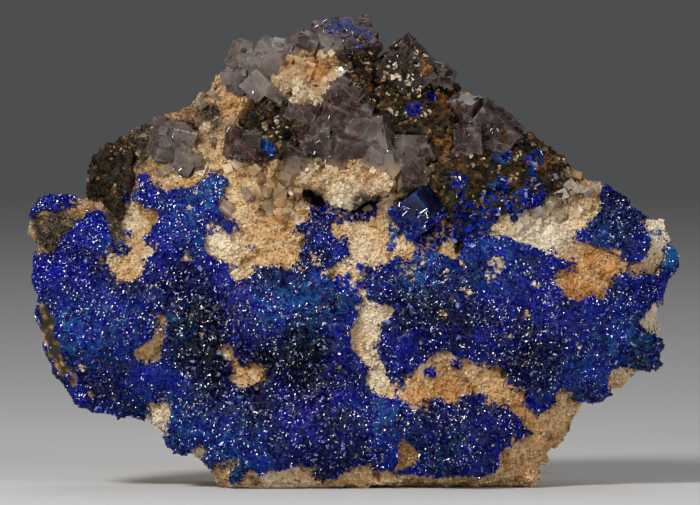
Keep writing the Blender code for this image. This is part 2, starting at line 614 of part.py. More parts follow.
def cut(obj, cutters):
    """Cuts sockets in an object, where the cutters reach it, and keeps its largest body."""
    bpy.context.view_layer.update()
    reaching = [cutter for cutter in cutters if boxes_meet(obj, cutter)]
    for cutter in reaching:
        socket = obj.modifiers.new("socket", "BOOLEAN")
        socket.operation = "DIFFERENCE"
        socket.object = cutter
    mesh = evaluated_mesh(obj)
    obj.modifiers.clear()
    solid = bmesh.new()
    solid.from_mesh(mesh)
    bodies = []
    waiting = set(solid.verts)
    while waiting:
        body = [waiting.pop()]
        for vert in body:
            linked = {edge.other_vert(vert) for edge in vert.link_edges} & waiting
            waiting -= linked
            body += linked
        bodies.append(body)
    bodies.sort(key=len)
    crumbs = [vert for body in bodies[:-1] for vert in body]
    bmesh.ops.delete(solid, geom=crumbs, context="VERTS")
    bmesh.ops.triangulate(solid, faces=solid.faces)
    bmesh.ops.dissolve_degenerate(solid, edges=solid.edges, dist=SHORTEST_EDGE * MM)
    bmesh.ops.triangulate(solid, faces=solid.faces)
    solid.to_mesh(mesh)
    solid.free()
    obj.data = mesh


def clear_scene():
    for obj in list(bpy.data.objects):
        bpy.data.objects.remove(obj, do_unlink=True)


def main():
    clear_scene()
    noise.seed_set(NOISE_SEED)
    linarite = material("linarite", (0.01, 0.03, 0.30), 0.35)
    gossan = material("gossan", (0.05, 0.035, 0.02), 0.7)
    fluorite = material("fluorite", (0.16, 0.13, 0.18), 0.2)

    shell = rock_shell()
    rock = build_rock(shell[0], shell[1])
    crusts = [
        build_crust("linarite_left", shell, LINARITE_LEFT, LINARITE_LEFT_WINDOWS, LINARITE_THICKNESS,
                    linarite),
        build_crust("linarite_right", shell, LINARITE_RIGHT, [], LINARITE_THICKNESS, linarite),
        build_crust("linarite_upper_right", shell, LINARITE_UPPER_RIGHT, [], LINARITE_THICKNESS, linarite),
        build_crust("linarite_cap", shell, LINARITE_CAP, [], LINARITE_THICKNESS, linarite),
        build_crust("gossan_left", shell, GOSSAN_LEFT, [], GOSSAN_THICKNESS, gossan),
        build_crust("gossan_hollow", shell, GOSSAN_VUG, [], GOSSAN_THICKNESS, gossan),
        build_crust("gossan_right", shell, GOSSAN_RIGHT, [], GOSSAN_THICKNESS, gossan),
    ]
    groups = [
        ("fluorite_main", FLUORITE_MAIN, fluorite),
        ("fluorite_upper_left", FLUORITE_UPPER_LEFT, fluorite),
        ("fluorite_shoulder", FLUORITE_SHOULDER, fluorite),
        ("fluorite_left", FLUORITE_LEFT, fluorite),
        ("fluorite_hollow", FLUORITE_HOLLOW, fluorite),
        ("blue_crystal", BLUE_CRYSTAL, linarite),
    ]
    cutters = []
    for name, cubes, finish in groups:
        crystals, cutter = build_crystals(name, cubes, finish)
        if cutters:
            cut(crystals, cutters)
        cutters.append(cutter)
    for obj in [rock] + crusts:
        cut(obj, cutters)


main()
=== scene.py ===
"""Looks of the linarite specimen: sugary rock, blue druse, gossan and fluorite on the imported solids.

Lengths in this script are millimetres unless a name says otherwise; MM turns them into metres.
The front faces -Y. Places on the front are given as (x, z).
"""

import math

import bmesh
import bpy
import numpy as np
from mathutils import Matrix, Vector, noise
from mathutils.bvhtree import BVHTree
from mathutils.kdtree import KDTree


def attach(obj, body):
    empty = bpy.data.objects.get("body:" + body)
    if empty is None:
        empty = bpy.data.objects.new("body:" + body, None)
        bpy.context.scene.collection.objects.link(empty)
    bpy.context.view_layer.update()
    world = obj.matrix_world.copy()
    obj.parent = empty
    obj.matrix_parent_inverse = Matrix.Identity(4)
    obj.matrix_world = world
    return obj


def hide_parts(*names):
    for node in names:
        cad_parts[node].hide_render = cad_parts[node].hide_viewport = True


MM = 0.001
SEED = 11

VIEW_WIDTH = 116.67  # what the frame's width shows at the specimen
VIEW_HEIGHT_Z = 38.75
CAMERA_DISTANCE = 2500.0
CAMERA_ELEVATION = 2.0  # degrees
SENSOR = 36.0
FARTHEST_SEEN = 20.0  # metres
FLOOR_WIDTH = 3.2  # metres

# Lamps: name, place in metres, size in metres, power in watts. All face the middle.
MIDDLE = (0.0, 0.0, 0.04)
FRONT_LAMPS = [
    ("key", (-0.32, -0.50, 0.50), 0.16, 4.4),
    ("glint left", (-0.45, -0.75, 0.15), 0.04, 0.9),
    ("glint right", (0.35, -0.80, 0.40), 0.04, 0.9),
]
OTHER_LAMPS = [
    ("fill", (0.60, -0.60, 0.25), 0.20, 1.5),
    ("top", (0.05, 0.05, 0.80), 0.60, 0.6),
    ("back", (0.2, 0.7, 0.9), 0.6, 1.2),
]
SKY_COLOUR = (0.92, 0.95, 1.0, 1.0)
SKY_STRENGTH = 0.08

ROCK_VOXEL = 0.63
CRUST_VOXEL = 0.48
WELD_METRES = 1e-6
BASE_EDGE = 0.35  # up to this height the rock has no relief, so that its base stays flat
LOWEST = 0.05  # no crust or crystal reaches below this height
# How far each crust's solid is swollen on every side, and how lumpy it is.
BLUE_BED = {"growth": 0.15, "relief": 0.40}
DARK_BED = {"growth": 0.22, "relief": 0.60}
THICKEST_CRUST = 4.0  # a crust is looked for up to this far above the rock
FARTHEST_CRUST = 5.0  # distances to the crusts count up to here
SPILL_REACH = 2.5  # blue crystals spill over the rock up to here
# Fluorite: longer edges are split, and edges sharper than the angles, in degrees, are softened or are rims.
LONG_EDGE = 0.9
SPLIT_ROUNDS = 3
SOFT_EDGE = 0.12
SOFTENED_ANGLE = 25
RIM_ANGLE = 20
# The painted edge highlight fades over this width from the rims.
RIM_WIDTH = 0.45
# The cream part of the fluorite: between two x, and from one height down to where it is full.
CREAM_LEFT, CREAM_RIGHT = -12.0, 8.5
CREAM_TOP, CREAM_FULL = 57.0, 51.0
# The single blue crystal: the middle and the height of its foot of druse.
FOOT_X, FOOT_Z = 11.5, 44.0
FLUORITE_IOR = 1.434

# How many grow on a square millimetre of their ground.
PER_MM2 = {
    "sugar": 5.2, "druse": 1.3, "blue": 9.2, "blue glints": 9.0, "foot": 16.0, "streaks": 14.0,
    "gossan": 3.2, "steps": 0.26, "patch": 13.0, "islands": 3.0, "teeth": 6.0, "cream": 4.5,
    "coat": 4.0, "glints": 0.9, "blue coat": 2.5, "spill": 13.0,
}
# Length of the blue chisels on each ground, before each one's own share.
BLUE_LENGTH = {"crust": 0.42, "foot": 0.4, "patch": 0.5, "coat": 0.34}
GALENA_SHARE = 0.015  # of the gossan grains
STEP_SHARE = 0.45  # of what grows on fluorite; the rest are buds
COVERED = 0.45  # from this strength on, spots cover their ground
PATCH_WAVELENGTH = 2.0
PATCH_DEPTH = 4.0  # patches reach back to this y
NOISE_SHIFT = np.array([17.3, 9.1, 5.7])  # from one layer of noise to the next
FACET_SHIFT = np.array([11.3, 7.9, 3.1])

LINARITE_NODES = ["linarite_left", "linarite_right", "linarite_upper_right", "linarite_cap"]
GOSSAN_NODES = ["gossan_left", "gossan_hollow", "gossan_right"]
FLUORITE_NODES = [
    "fluorite_main", "fluorite_upper_left", "fluorite_shoulder", "fluorite_left", "fluorite_hollow",
]

# Stretches of the front with a colour or a growth of their own: x, z, radius, strength.
ORANGE_STAINS = [
    (-39.8, 40.4, 1.3, 1), (-32.2, 45.5, 1.8, 0.9), (-30.8, 27.3, 2.2, 0.9), (-17, 19.2, 4, 0.7),
    (-23.3, 24.5, 1.2, 0.9), (16, 16.5, 5.5, 0.55), (25, 14, 4.5, 0.6), (29, 8, 6, 0.7),
    (9.7, 6.2, 3.4, 0.9), (-5.8, 69, 2.2, 1.6), (-10.2, 69.8, 1.6, 1.1), (-12.5, 50, 3, 0.5),
    (-5, 42, 1.5, 0.4), (-19, 66.6, 1.8, 0.7), (-18.8, 62, 2.2, 0.7), (40, 35, 5.2, 1.8),
    (10.8, 15.5, 1.9, 0.9), (16.8, 16.5, 2.1, 0.8), (14, 18.2, 1.2, 0.5), (-12.5, 41.5, 6, 0.35),
    (-28.3, 62.2, 2.2, 1), (33.8, 53.7, 1.8, 1), (16, 57.3, 2, 1), (-22.5, 3, 2.5, 0.4), (0, 2, 5, 0.3),
    (-26, 57, 5, 0.35), (45, 16.5, 3.5, 0.4), (-20.5, 47, 2, 0.6), (-36, 38, 3.5, 0.4),
    (14, 41, 4, 0.3), (4, 44, 4, 0.3), (29, 51.5, 2.5, 0.4), (48, 37, 2.5, 0.5), (18.5, 43.5, 1, 0.9),
]
# Dark spots: partly stains, partly painted shadow in the hollows under the ledge and the fluorite.
DARK_STAINS_AND_SHADOWS = [
    (-9.8, 46.6, 1.6, 0.6), (-14.5, 47.5, 1.2, 0.4), (-17, 52.5, 2, 0.45), (-27.5, 59.5, 2.5, 0.5),
    (36.5, 48.5, 3.5, 0.55), (41.5, 49.5, 1.5, 0.5), (30.5, 45, 2.5, 0.35), (36, 40.5, 1.2, 0.4),
    (-39.8, 43.4, 2.2, 1.1), (-38.6, 40.8, 1.5, 1), (-50.8, 42.6, 4.5, 1), (-48, 41, 3, 0.7),
    (-46, 42.5, 3, 0.6), (-24.5, 64, 3.2, 0.75), (-22.5, 60.5, 2.5, 0.7), (-33.5, 60.5, 3, 0.55),
    (-36.8, 57, 3, 0.9), (-24.5, 57, 2, 0.4), (-38.5, 51, 7, 0.9), (-11.3, 59, 6, 1), (12, 62, 8, 1),
    (22, 54, 8, 1), (32, 53, 6, 0.9), (-30, 58.5, 4, 0.6), (20, 45, 4, 0.9), (-49, 22, 3, 0.7),
    (5, 69, 4, 0.8), (-5.7, 48.4, 2.2, 1), (2, 47.8, 2.4, 1), (11.8, 43, 1.8, 1), (18.3, 40.5, 1.4, 1),
    (-50.5, 27, 2.5, 0.7), (-51, 34, 2, 0.5),
]
PALE_STAINS = [
    (-8, 68, 4, 0.6), (-29.5, 37, 1.5, 0.5), (31, 41.5, 4, 0.5), (50.5, 42, 4.5, 1),
    (30, 39.5, 5.5, 0.8), (36, 42.5, 4, 0.5), (-21.5, 41, 3.5, 0.8), (5, 27, 4, 0.8), (4.5, 19, 3, 0.9),
    (50, 27, 4, 0.9), (-32, 39, 2.5, 0.6), (-31, 11, 3.5, 0.7), (-44, 20, 1.5, 0.8), (-1, 31, 3, 0.6),
    (2, 39.5, 3, 0.6), (0.5, 47.3, 2.6, 0.6), (-3.5, 49.5, 2.5, 0.3), (4.5, 50, 2, 0.3),
    (-12, 3, 3.5, 0.5), (46, 20, 3, 0.5), (-36, 44.5, 1.5, 0.6), (-2, 47.3, 1.2, 0.8),
]
TEAL_PATCHES = [
    (-48, 26, 5, 0.6), (-39, 26, 6, 0.4), (-30, 11, 7, 0.5), (-18, 5, 6, 0.6), (-5, 31, 6, 0.55),
    (-13, 31, 3.5, 0.6), (6, 12, 4.5, 0.6), (46, 24, 6, 0.5), (38, 18, 6, 0.4), (43, 41.5, 4.5, 0.4),
    (-38, 40.5, 2.5, 1), (11.5, 37, 4, 0.9), (24, 38, 5, 0.5), (16.5, 6, 5, 0.3), (-22, 49, 3, 0.8),
    (-27, 46, 4, 0.5), (53.5, 38.5, 3, 1), (0, 75, 4, 0.8), (-36.5, 48.7, 1.5, 1), (51, 42.3, 1.5, 1),
    (7, 41.5, 2, 0.9), (25, 53, 6, 0.8), (-14.5, 56.3, 2.5, 0.9), (-24.5, 41, 2, 0.6),
    (-29, 27.5, 3, 0.5),
]
# Near-black stretches of coarse, dark blades.
INK_PATCHES = [
    (-26, 27.5, 6.5, 1), (-27, 36, 4, 0.4), (-22, 20, 6, 0.8), (-8, 20, 6, 0.7), (20, 27, 6, 0.6),
    (33, 22, 5, 0.5), (-43, 20, 4, 0.4), (12, 9, 5, 0.4), (29, 18, 4, 0.7), (10, 28, 4, 0.4),
    (-6, 25, 4, 0.5), (-15, 12, 4, 0.4),
]
# Blue growth beyond the crusts: strengths near 1 cover all, lower ones leave ragged islands.
BLUE_PATCHES = [
    (12.2, 41.8, 1.3, 1.6), (13.3, 19.5, 0.9, 1.2), (-1.8, 41, 1.2, 1.3), (8, 37.2, 1.1, 1.3),
    (7.1, 42.3, 0.9, 1.2), (6.8, 40.2, 0.9, 1.2), (2.7, 36.4, 0.8, 1.3), (5, 33.8, 2.8, 1.3),
    (8.6, 33.5, 2.6, 1.3), (12.5, 37.5, 2.6, 1.2), (14.8, 35.5, 2.4, 1.2), (0.5, 45.4, 1.2, 1),
    (2.4, 45.6, 1.2, 0.9), (4.6, 46.6, 1.2, 1), (-1.5, 33.5, 2.4, 0.75), (-0.5, 30.5, 2, 0.75),
    (15.5, 42.5, 1.6, 0.9), (19, 43.2, 1.8, 1.1), (22, 43.6, 1.8, 1), (18, 50.7, 2, 0.8),
    (24.6, 49.3, 2.4, 0.8), (30, 48.8, 2.8, 0.85), (25.3, 54.9, 1.6, 1), (30.8, 54.5, 2, 0.7),
    (-6.3, 45.2, 1.2, 1.1), (-4.4, 45.8, 1.3, 1.2), (-2, 45.6, 1.3, 1.2), (2.6, 46.8, 1.2, 1),
    (7.4, 44, 1, 1.2), (20.7, 57.5, 1.8, 0.75), (11, 62.7, 0.9, 1.3), (13.7, 64.5, 0.7, 0.9),
    (18.8, 46.5, 1.3, 1), (-14.5, 56.3, 1.5, 1.1), (-36.5, 48.7, 1, 1.4), (-38, 39.6, 1.1, 1.4),
    (-37.2, 42.2, 0.9, 1), (51, 42.3, 0.7, 1.4), (51.3, 30.5, 1.2, 0.8), (-44, 22, 2, 0.7),
    (18, 20.5, 0.9, 1), (8.8, 17.5, 0.8, 0.9), (25.5, 22, 0.8, 0.7), (-16.5, 40, 1, 0.5),
    (27, 45.8, 2, 0.6), (36.5, 41.5, 0.9, 0.6), (22.5, 46.5, 2, 0.7),
]
# Grey to cream crystals that poke out of the blue crusts.
CREAM_ISLANDS = [
    (24.2, 37.2, 1.3, 1), (23, 35.3, 1, 0.9), (19, 32.3, 1, 1.2), (15.7, 28.9, 0.9, 1.1),
    (29.3, 29, 0.9, 1), (26, 25.2, 0.7, 0.9), (-5.5, 38, 1.2, 1), (18.4, 37.5, 1.2, 0.8),
    (-33, 32, 0.9, 0.7), (-44.5, 20, 0.9, 0.9), (-25.5, 52, 1.2, 0.6), (-27, 47, 1.1, 0.7),
    (16, 36, 0.9, 0.8), (31, 33.5, 0.7, 0.7), (-1.5, 20, 0.6, 0.7), (38, 24, 0.7, 0.8),
]
# Coarser crystals of the rock: the hump under the peak, the ledge, the violet-grey shoulder.
COARSE_DRUSE = [
    (-8.5, 68.5, 4, 1), (-4.5, 69.5, 3.6, 1), (-6.5, 65.5, 3, 0.9), (37.4, 48.2, 3, 1),
    (33, 46, 2.2, 0.8), (40, 49.8, 1.6, 1), (6, 44.5, 3, 0.6), (13, 44.5, 2.5, 0.7),
    (-8.5, 46.5, 2.5, 0.9), (0, 51, 5, 0.9), (-13, 49.5, 3.5, 0.6), (-20, 54, 2.5, 0.5),
    (10, 51, 2.5, 0.7), (-25, 61, 3, 0.5), (-15, 65.5, 2.5, 0.5), (29, 42.5, 2.6, 0.7),
]
TAN_GOSSAN = [
    (9, 68.5, 4.8, 1.3), (-37.5, 54, 4, 0.2), (-40.5, 48, 3, 0.2), (20, 55, 5, 0.4), (30, 54, 3, 0.5),
    (-12, 61, 3, 0.4), (24, 46, 3, 0.5),
]
SHADED_GOSSAN = [(-40, 52, 8, 1.2), (-37, 44, 5, 0.8)]
RUST_GOSSAN = [
    (16, 56.5, 2.2, 1), (34, 53.5, 1.8, 1), (-15, 66, 2.2, 0.8), (-5.3, 63.5, 1.5, 1),
    (12, 70.5, 2, 0.9), (7, 58, 3, 0.5), (19, 50, 1.5, 0.6), (-13, 52.5, 1.2, 0.9), (18, 65, 2.5, 0.9),
    (-40, 41, 1.5, 0.6), (2.5, 64.5, 2, 0.4),
]
# Coats on the fluorite crystals.
BLUE_COAT = [(-0.6, 76.2, 1.8, 0.8), (-3, 75.8, 1.2, 0.7), (2.2, 74.8, 1.6, 0.8), (1.6, 72.8, 1.1, 0.6)]
DARK_COAT = [
    (2, 70.2, 2.8, 1.2), (0.5, 74.6, 2.6, 0.42), (8.6, 68.6, 4.3, 1.5), (5.5, 66, 2.5, 1),
    (23.7, 59.2, 2, 1), (10.5, 63, 2.5, 1), (15.5, 59.5, 2, 0.7),
]

# Deep hollows of the rock: x, z, radius, depth.
HOLLOWS = [
    (-6.6, 48.4, 1.7, 3.2), (-4.9, 47.2, 1, 2), (1.2, 47.6, 1.4, 3), (3.6, 48.2, 1.6, 3.2),
    (11.8, 43.9, 1.3, 2.4), (13, 44.2, 0.9, 2), (18.3, 41.5, 0.8, 2), (18.2, 39.7, 0.7, 1.6),
    (-22.8, 62.5, 1.2, 1.5), (-26, 60.2, 0.8, 1.2), (-9.5, 44.9, 0.6, 0.8), (-15.6, 44.6, 0.5, 0.8),
]
# The cream ledge under the middle fluorite: its outline on the front, from the left,
# and the y of its front and back.
LEDGE_OUTLINE = [
    (-8.3, 50.9), (-6.7, 50.3), (-5.3, 49.3), (-4.4, 48.9), (-3.8, 48), (-2.7, 47.3), (-1.9, 46.9),
    (-0.8, 46.9), (0.3, 46), (0.9, 47), (2, 47.5), (3.3, 48.7), (4.6, 48.9), (5.7, 49.6), (7.6, 50.6),
    (6.2, 51.9), (4.6, 51.2), (3.4, 52.4), (1.6, 51.5), (0.2, 52.9), (-1.8, 51.8), (-3.4, 52.8),
    (-4.8, 51.7), (-6.4, 52.4), (-7.4, 51.5),
]
LEDGE_FRONT = -15.6
LEDGE_BACK = -11.5
# Cream crystals on the fluorite: the hump below the peak and the ledge.
CREAM_COAT = [
    (-8.5, 69.3, 3.2, 1.2), (-4.6, 69.6, 2.6, 1.1), (-6.2, 68.2, 2.2, 0.7), (-7, 66.3, 2.6, 1),
    (-10.8, 67.6, 1.6, 0.9), (-3, 50.6, 2.6, 1), (2, 50.2, 2.8, 1.1), (5.8, 50.8, 1.7, 0.9),
    (-7.4, 51, 1.4, 0.9), (-5.5, 53.2, 1.2, 0.8), (0.8, 53.2, 1.3, 0.8),
]
# Fluorite crystals paler than the rest.
PALE_FLUORITE = [
    (-16.5, 70.5, 5.5, 0.9), (5.2, 55.5, 3.6, 0.7), (-12, 73, 3, 0.6), (9.5, 57.5, 2.2, 0.5),
    (-28.5, 57.5, 5, 0.7), (12, 71, 2.5, 0.4), (-4, 73, 2.5, 0.7),
]
# Fluorite with a thin tan to cream cover.
TAN_FLUORITE = [(-26, 54.5, 3, 1), (-25.5, 59, 2, 0.8), (-29, 60.5, 2, 0.6), (-15, 66, 2, 0.5)]
# Larger clear crystals: x, z, size, how honey-coloured.
CLEAR_CRYSTALS = [
    (-14.5, 51, 3.4, 1), (-11.6, 49.2, 3, 0.9), (-9.4, 51.4, 2.6, 0.7), (-13.2, 46.8, 2.6, 0.6),
    (-10.4, 45.8, 2.2, 0.8), (-16.6, 48.6, 2.2, 0.5), (-12, 53.2, 2.4, 0.9), (-8, 47, 1.8, 0.5),
    (33.6, 46.8, 3.2, 0.1), (36.6, 49.4, 3, 0.2), (39.4, 48.6, 3.4, 0), (41, 49.6, 2.4, 0),
    (35, 45, 2.4, 0.3), (31, 45.6, 2.6, 0.1), (37.8, 46.3, 2.6, 0.2), (29, 43.6, 2, 0.4),
    (6.5, 44.4, 2, 0.4), (-20.6, 46.4, 2.4, 0.4), (-27.5, 51.8, 3.6, 0.7), (-15.6, 52.8, 2, 0.9),
    (-9.9, 48.2, 2.2, 0.9), (-13.4, 49.3, 2.4, 0.8), (-7.2, 49.6, 1.8, 0.8), (35, 48.4, 2.4, 0.1),
    (-24.6, 53, 2.6, 0.8), (-30.5, 52.6, 2.4, 0.6), (-22, 65, 2, 0.6), (-19.6, 60, 2, 0.9),
]
# The glints are longest in this direction.
STREAK_DIRECTION = np.array([0.5, 0.0, 0.85])
# Light streaks on the single blue crystal.
CRYSTAL_STREAKS = [(10.3, 46.4, 1.4, 1), (12, 45.2, 1.2, 0.8), (9.2, 45, 1, 0.6)]
# Brown rock that shows through the crust along the left rim: x, z, radius, strength.
EARTH_RIM = [
    (-50.6, 27.5, 1.9, 1), (-49.9, 24.7, 1.6, 0.9), (-48.9, 22, 1.6, 0.9), (-47.4, 19.6, 1.5, 0.9),
    (-51.2, 30, 1.2, 0.7), (-45.8, 17.6, 1.3, 0.8), (-43, 15.8, 0.9, 0.7), (-39.5, 14.8, 0.9, 0.7),
]

rng = np.random.default_rng(SEED)
noise.seed_set(SEED)


def mix(start, end, share):
    return start + (end - start) * share


def smoothstep(low, high, value):
    share = np.clip((value - low) / (high - low), 0.0, 1.0)
    return share * share * (3 - 2 * share)


def varied(count, least, spread, power=2):
    """Random sizes, most of them near the least."""
    return least + spread * rng.random(count) ** power


def noise_at(points, wavelength, layer):
    """Smooth noise in -1..1 at points in millimetres; each layer is a pattern of its own."""
    return np.array([noise.noise(place) for place in points / wavelength + NOISE_SHIFT * layer])


def layered_noise(points, layer, *parts):
    """Noise from several layers, counted from the given one, each part a wavelength and a height."""
    return sum(height * noise_at(points, wavelength, layer + i)
               for i, (wavelength, height) in enumerate(parts))


def facets_at(points, size, slope, layer):
    """Relief of flat tilted facets, each about the given size across."""
    relief = np.empty(len(points))
    for i, place in enumerate(points / size + FACET_SHIFT * layer):
        cell = noise.voronoi(place)[1][0]
        tilt = noise.noise_vector(cell * 7.31)
        relief[i] = slope * size * tilt.dot(Vector(place) - cell)
    return relief


def spots_at(points, spots):
    """Sum of round soft spots at the points, seen from the front."""
    total = np.zeros(len(points))
    for x, z, radius, strength in spots:
        away = ((points[:, 0] - x) ** 2 + (points[:, 2] - z) ** 2) / radius ** 2
        total += strength * np.exp(-away)
    return total


def patchy(points, spots, layer, raggedness):
    """Which points the spots cover, with ragged edges."""
    return spots_at(points, spots) + raggedness * noise_at(points, PATCH_WAVELENGTH, layer) > COVERED


def vectors_of(mesh, field):
    flat = np.empty(len(mesh.vertices) * 3)
    mesh.vertices.foreach_get(field, flat)
    return flat.reshape(-1, 3)


def points_of(mesh):
    return vectors_of(mesh, "co") / MM


def normals_of(mesh):
    return vectors_of(mesh, "normal")


def raised(mesh, relief, lowest):
    """Moves each point outward by its relief, to no place below the lowest, and returns the points."""
    points = points_of(mesh) + normals_of(mesh) * relief[:, None]
    points[:, 2] = np.maximum(points[:, 2], lowest)
    mesh.vertices.foreach_set("co", (points * MM).ravel())
    mesh.update()
    return points


def set_attribute(mesh, name, values):
    layer = mesh.attributes.new(name, "FLOAT", "POINT")
    layer.data.foreach_set("value", np.clip(values, 0.0, 1.0).astype(np.float32))


def new_object(name, content):
    """A new object in the scene, with its mesh, lamp or camera."""
    obj = bpy.data.objects.new(name, content)
    bpy.context.scene.collection.objects.link(obj)
    return obj


def welded_copy(name, node):
    """A copy of the node with its corners joined again."""
    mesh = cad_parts[node].data.copy()
    solid = bmesh.new()
    solid.from_mesh(mesh)
    bmesh.ops.remove_doubles(solid, verts=solid.verts, dist=WELD_METRES)
    solid.to_mesh(mesh)
    solid.free()
    mesh.materials.clear()
    return new_object(name, mesh)


def applied(obj):
    """The object with its modifiers made into its mesh."""
    graph = bpy.context.evaluated_depsgraph_get()
    mesh = bpy.data.meshes.new_from_object(obj.evaluated_get(graph))
    obj.modifiers.clear()
    old = obj.data
    obj.data = mesh
    bpy.data.meshes.remove(old)
    return obj


def remeshed(obj, voxel):
    """The object with an even mesh of small faces."""
    remesh = obj.modifiers.new("remesh", "REMESH")
    remesh.mode = "VOXEL"
    remesh.voxel_size = voxel * MM
    return applied(obj)


def fine_copy(name, node, growth, voxel):
    """A finely meshed copy of a node, grown on every side."""
    obj = welded_copy(name, node)
    swell = obj.modifiers.new("swell", "DISPLACE")
    swell.strength = growth * MM
    swell.mid_level = 0.0
    return remeshed(obj, voxel)


def triangles_of(mesh):
    """Corners, middles, outward directions and areas of a mesh's triangles, in millimetres."""
    mesh.calc_loop_triangles()
    corners = np.empty(len(mesh.loop_triangles) * 3, dtype=np.int32)
    mesh.loop_triangles.foreach_get("vertices", corners)
    corners = points_of(mesh)[corners.reshape(-1, 3)]
    crossed = np.cross(corners[:, 1] - corners[:, 0], corners[:, 2] - corners[:, 0])
    sizes = np.linalg.norm(crossed, axis=1)
    return corners, corners.mean(axis=1), crossed / np.maximum(sizes, 1e-12)[:, None], sizes / 2


def scattered(mesh, kind, share):
    """Random places on a mesh and their outward directions; share thins the kind's density."""
    corners, middles, normals, areas = triangles_of(mesh)
    numbers = rng.poisson(areas * PER_MM2[kind] * share(middles, normals))
    chosen = np.repeat(np.arange(len(areas)), numbers)
    first = np.sqrt(rng.random(len(chosen)))[:, None]
    second = rng.random(len(chosen))[:, None]
    picked = corners[chosen]
    places = ((1 - first) * picked[:, 0] + first * (1 - second) * picked[:, 1]
              + first * second * picked[:, 2])
    order = rng.permutation(len(chosen))
    return places[order], normals[chosen][order]


# Small crystal shapes in unit sizes, grown from z = 0: corners and faces.
# Those with an open bottom are sunk in their ground.
BASE = [(-0.5, -0.5, 0), (0.5, -0.5, 0), (0.5, 0.5, 0), (-0.5, 0.5, 0)]
SIDES = [(0, 1, 5, 4), (1, 2, 6, 5), (2, 3, 7, 6), (3, 0, 4, 7)]
BLADE = (BASE + [(-0.45, -0.5, 0.75), (0.45, -0.5, 1.0), (0.4, 0.5, 0.9), (-0.45, 0.5, 0.62)],
         SIDES + [(4, 5, 6, 7)])
CHISEL = (BASE + [(-0.3, 0.0, 0.85), (0.3, 0.0, 1.0)],
          [(0, 1, 5, 4), (2, 3, 4, 5), (1, 2, 5), (3, 0, 4)])
CUBE = (BASE + [(x, y, 1) for x, y, _ in BASE],
        SIDES + [(4, 5, 6, 7), (3, 2, 1, 0)])
TILE = ([(0, 0, 0)] + [(x, y, 1) for x, y, _ in BASE],
        [(1, 2, 3, 4), (2, 1, 0), (3, 2, 0), (4, 3, 0), (1, 4, 0)])
LUMP = ([(-0.5, -0.3, 0.2), (0.3, -0.5, 0.1), (0.5, 0.25, 0.25), (-0.2, 0.5, 0.1),
         (-0.1, 0.0, -0.3), (-0.25, -0.2, 0.8), (0.3, -0.1, 0.9), (0.0, 0.3, 0.75)],
        [(0, 1, 6, 5), (1, 2, 6), (2, 7, 6), (2, 3, 7), (3, 0, 5, 7), (5, 6, 7),
         (1, 0, 4), (2, 1, 4), (3, 2, 4), (0, 3, 4)])


def rhomb():
    """A cube's corner that points outward: three faces around one tip."""
    turns = [math.radians(60 * i) for i in range(6)]
    ring = [(0.47 * math.cos(turn), 0.47 * math.sin(turn), 2 / 3 - (i % 2) / 3)
            for i, turn in enumerate(turns)]
    return [(0.0, 0.0, 1.0)] + ring, [(0, 1, 2, 3), (0, 3, 4, 5), (0, 5, 6, 1)]


RHOMB = rhomb()


def units(vectors):
    return vectors / np.linalg.norm(vectors, axis=1)[:, None]


def leaning(directions, lean):
    """The directions, each tipped at random."""
    return units(directions + lean * rng.normal(size=(len(directions), 3)))


def crystals(name, shape, places, axes, lengths, widths, thicknesses, sink, across=None):
    """Many small crystals as one mesh, along the given axes; sink is the share of each that is buried."""
    corners = np.array(shape[0], dtype=float)
    count = len(places)
    helper = rng.normal(size=(count, 3)) if across is None else across
    side = units(np.cross(axes, helper))
    across = np.cross(side, axes)
    base = places - axes * (sink * lengths)[:, None]
    points = (base[:, None, :]
              + across[:, None, :] * (corners[None, :, 0] * widths[:, None])[:, :, None]
              + side[:, None, :] * (corners[None, :, 1] * thicknesses[:, None])[:, :, None]
              + axes[:, None, :] * (corners[None, :, 2] * lengths[:, None])[:, :, None])
    points = points.reshape(-1, 3)
    points[:, 2] = np.maximum(points[:, 2], LOWEST)
    sizes = np.tile(np.array([len(face) for face in shape[1]], dtype=np.int32), count)
    loops = np.concatenate([np.array(face, dtype=np.int32) for face in shape[1]])
    loops = (loops[None, :] + (np.arange(count, dtype=np.int32) * len(corners))[:, None]).ravel()
    mesh = bpy.data.meshes.new(name)
    mesh.vertices.add(len(points))
    mesh.loops.add(len(loops))
    mesh.polygons.add(len(sizes))
    mesh.vertices.foreach_set("co", (points * MM).ravel())
    mesh.loops.foreach_set("vertex_index", loops)
    mesh.polygons.foreach_set("loop_start", (np.cumsum(sizes) - sizes).astype(np.int32))
    mesh.update(calc_edges=True)
    mesh.shade_flat()
    set_attribute(mesh, "grain", np.repeat(rng.random(count), len(corners)))
    return new_object(name, mesh)


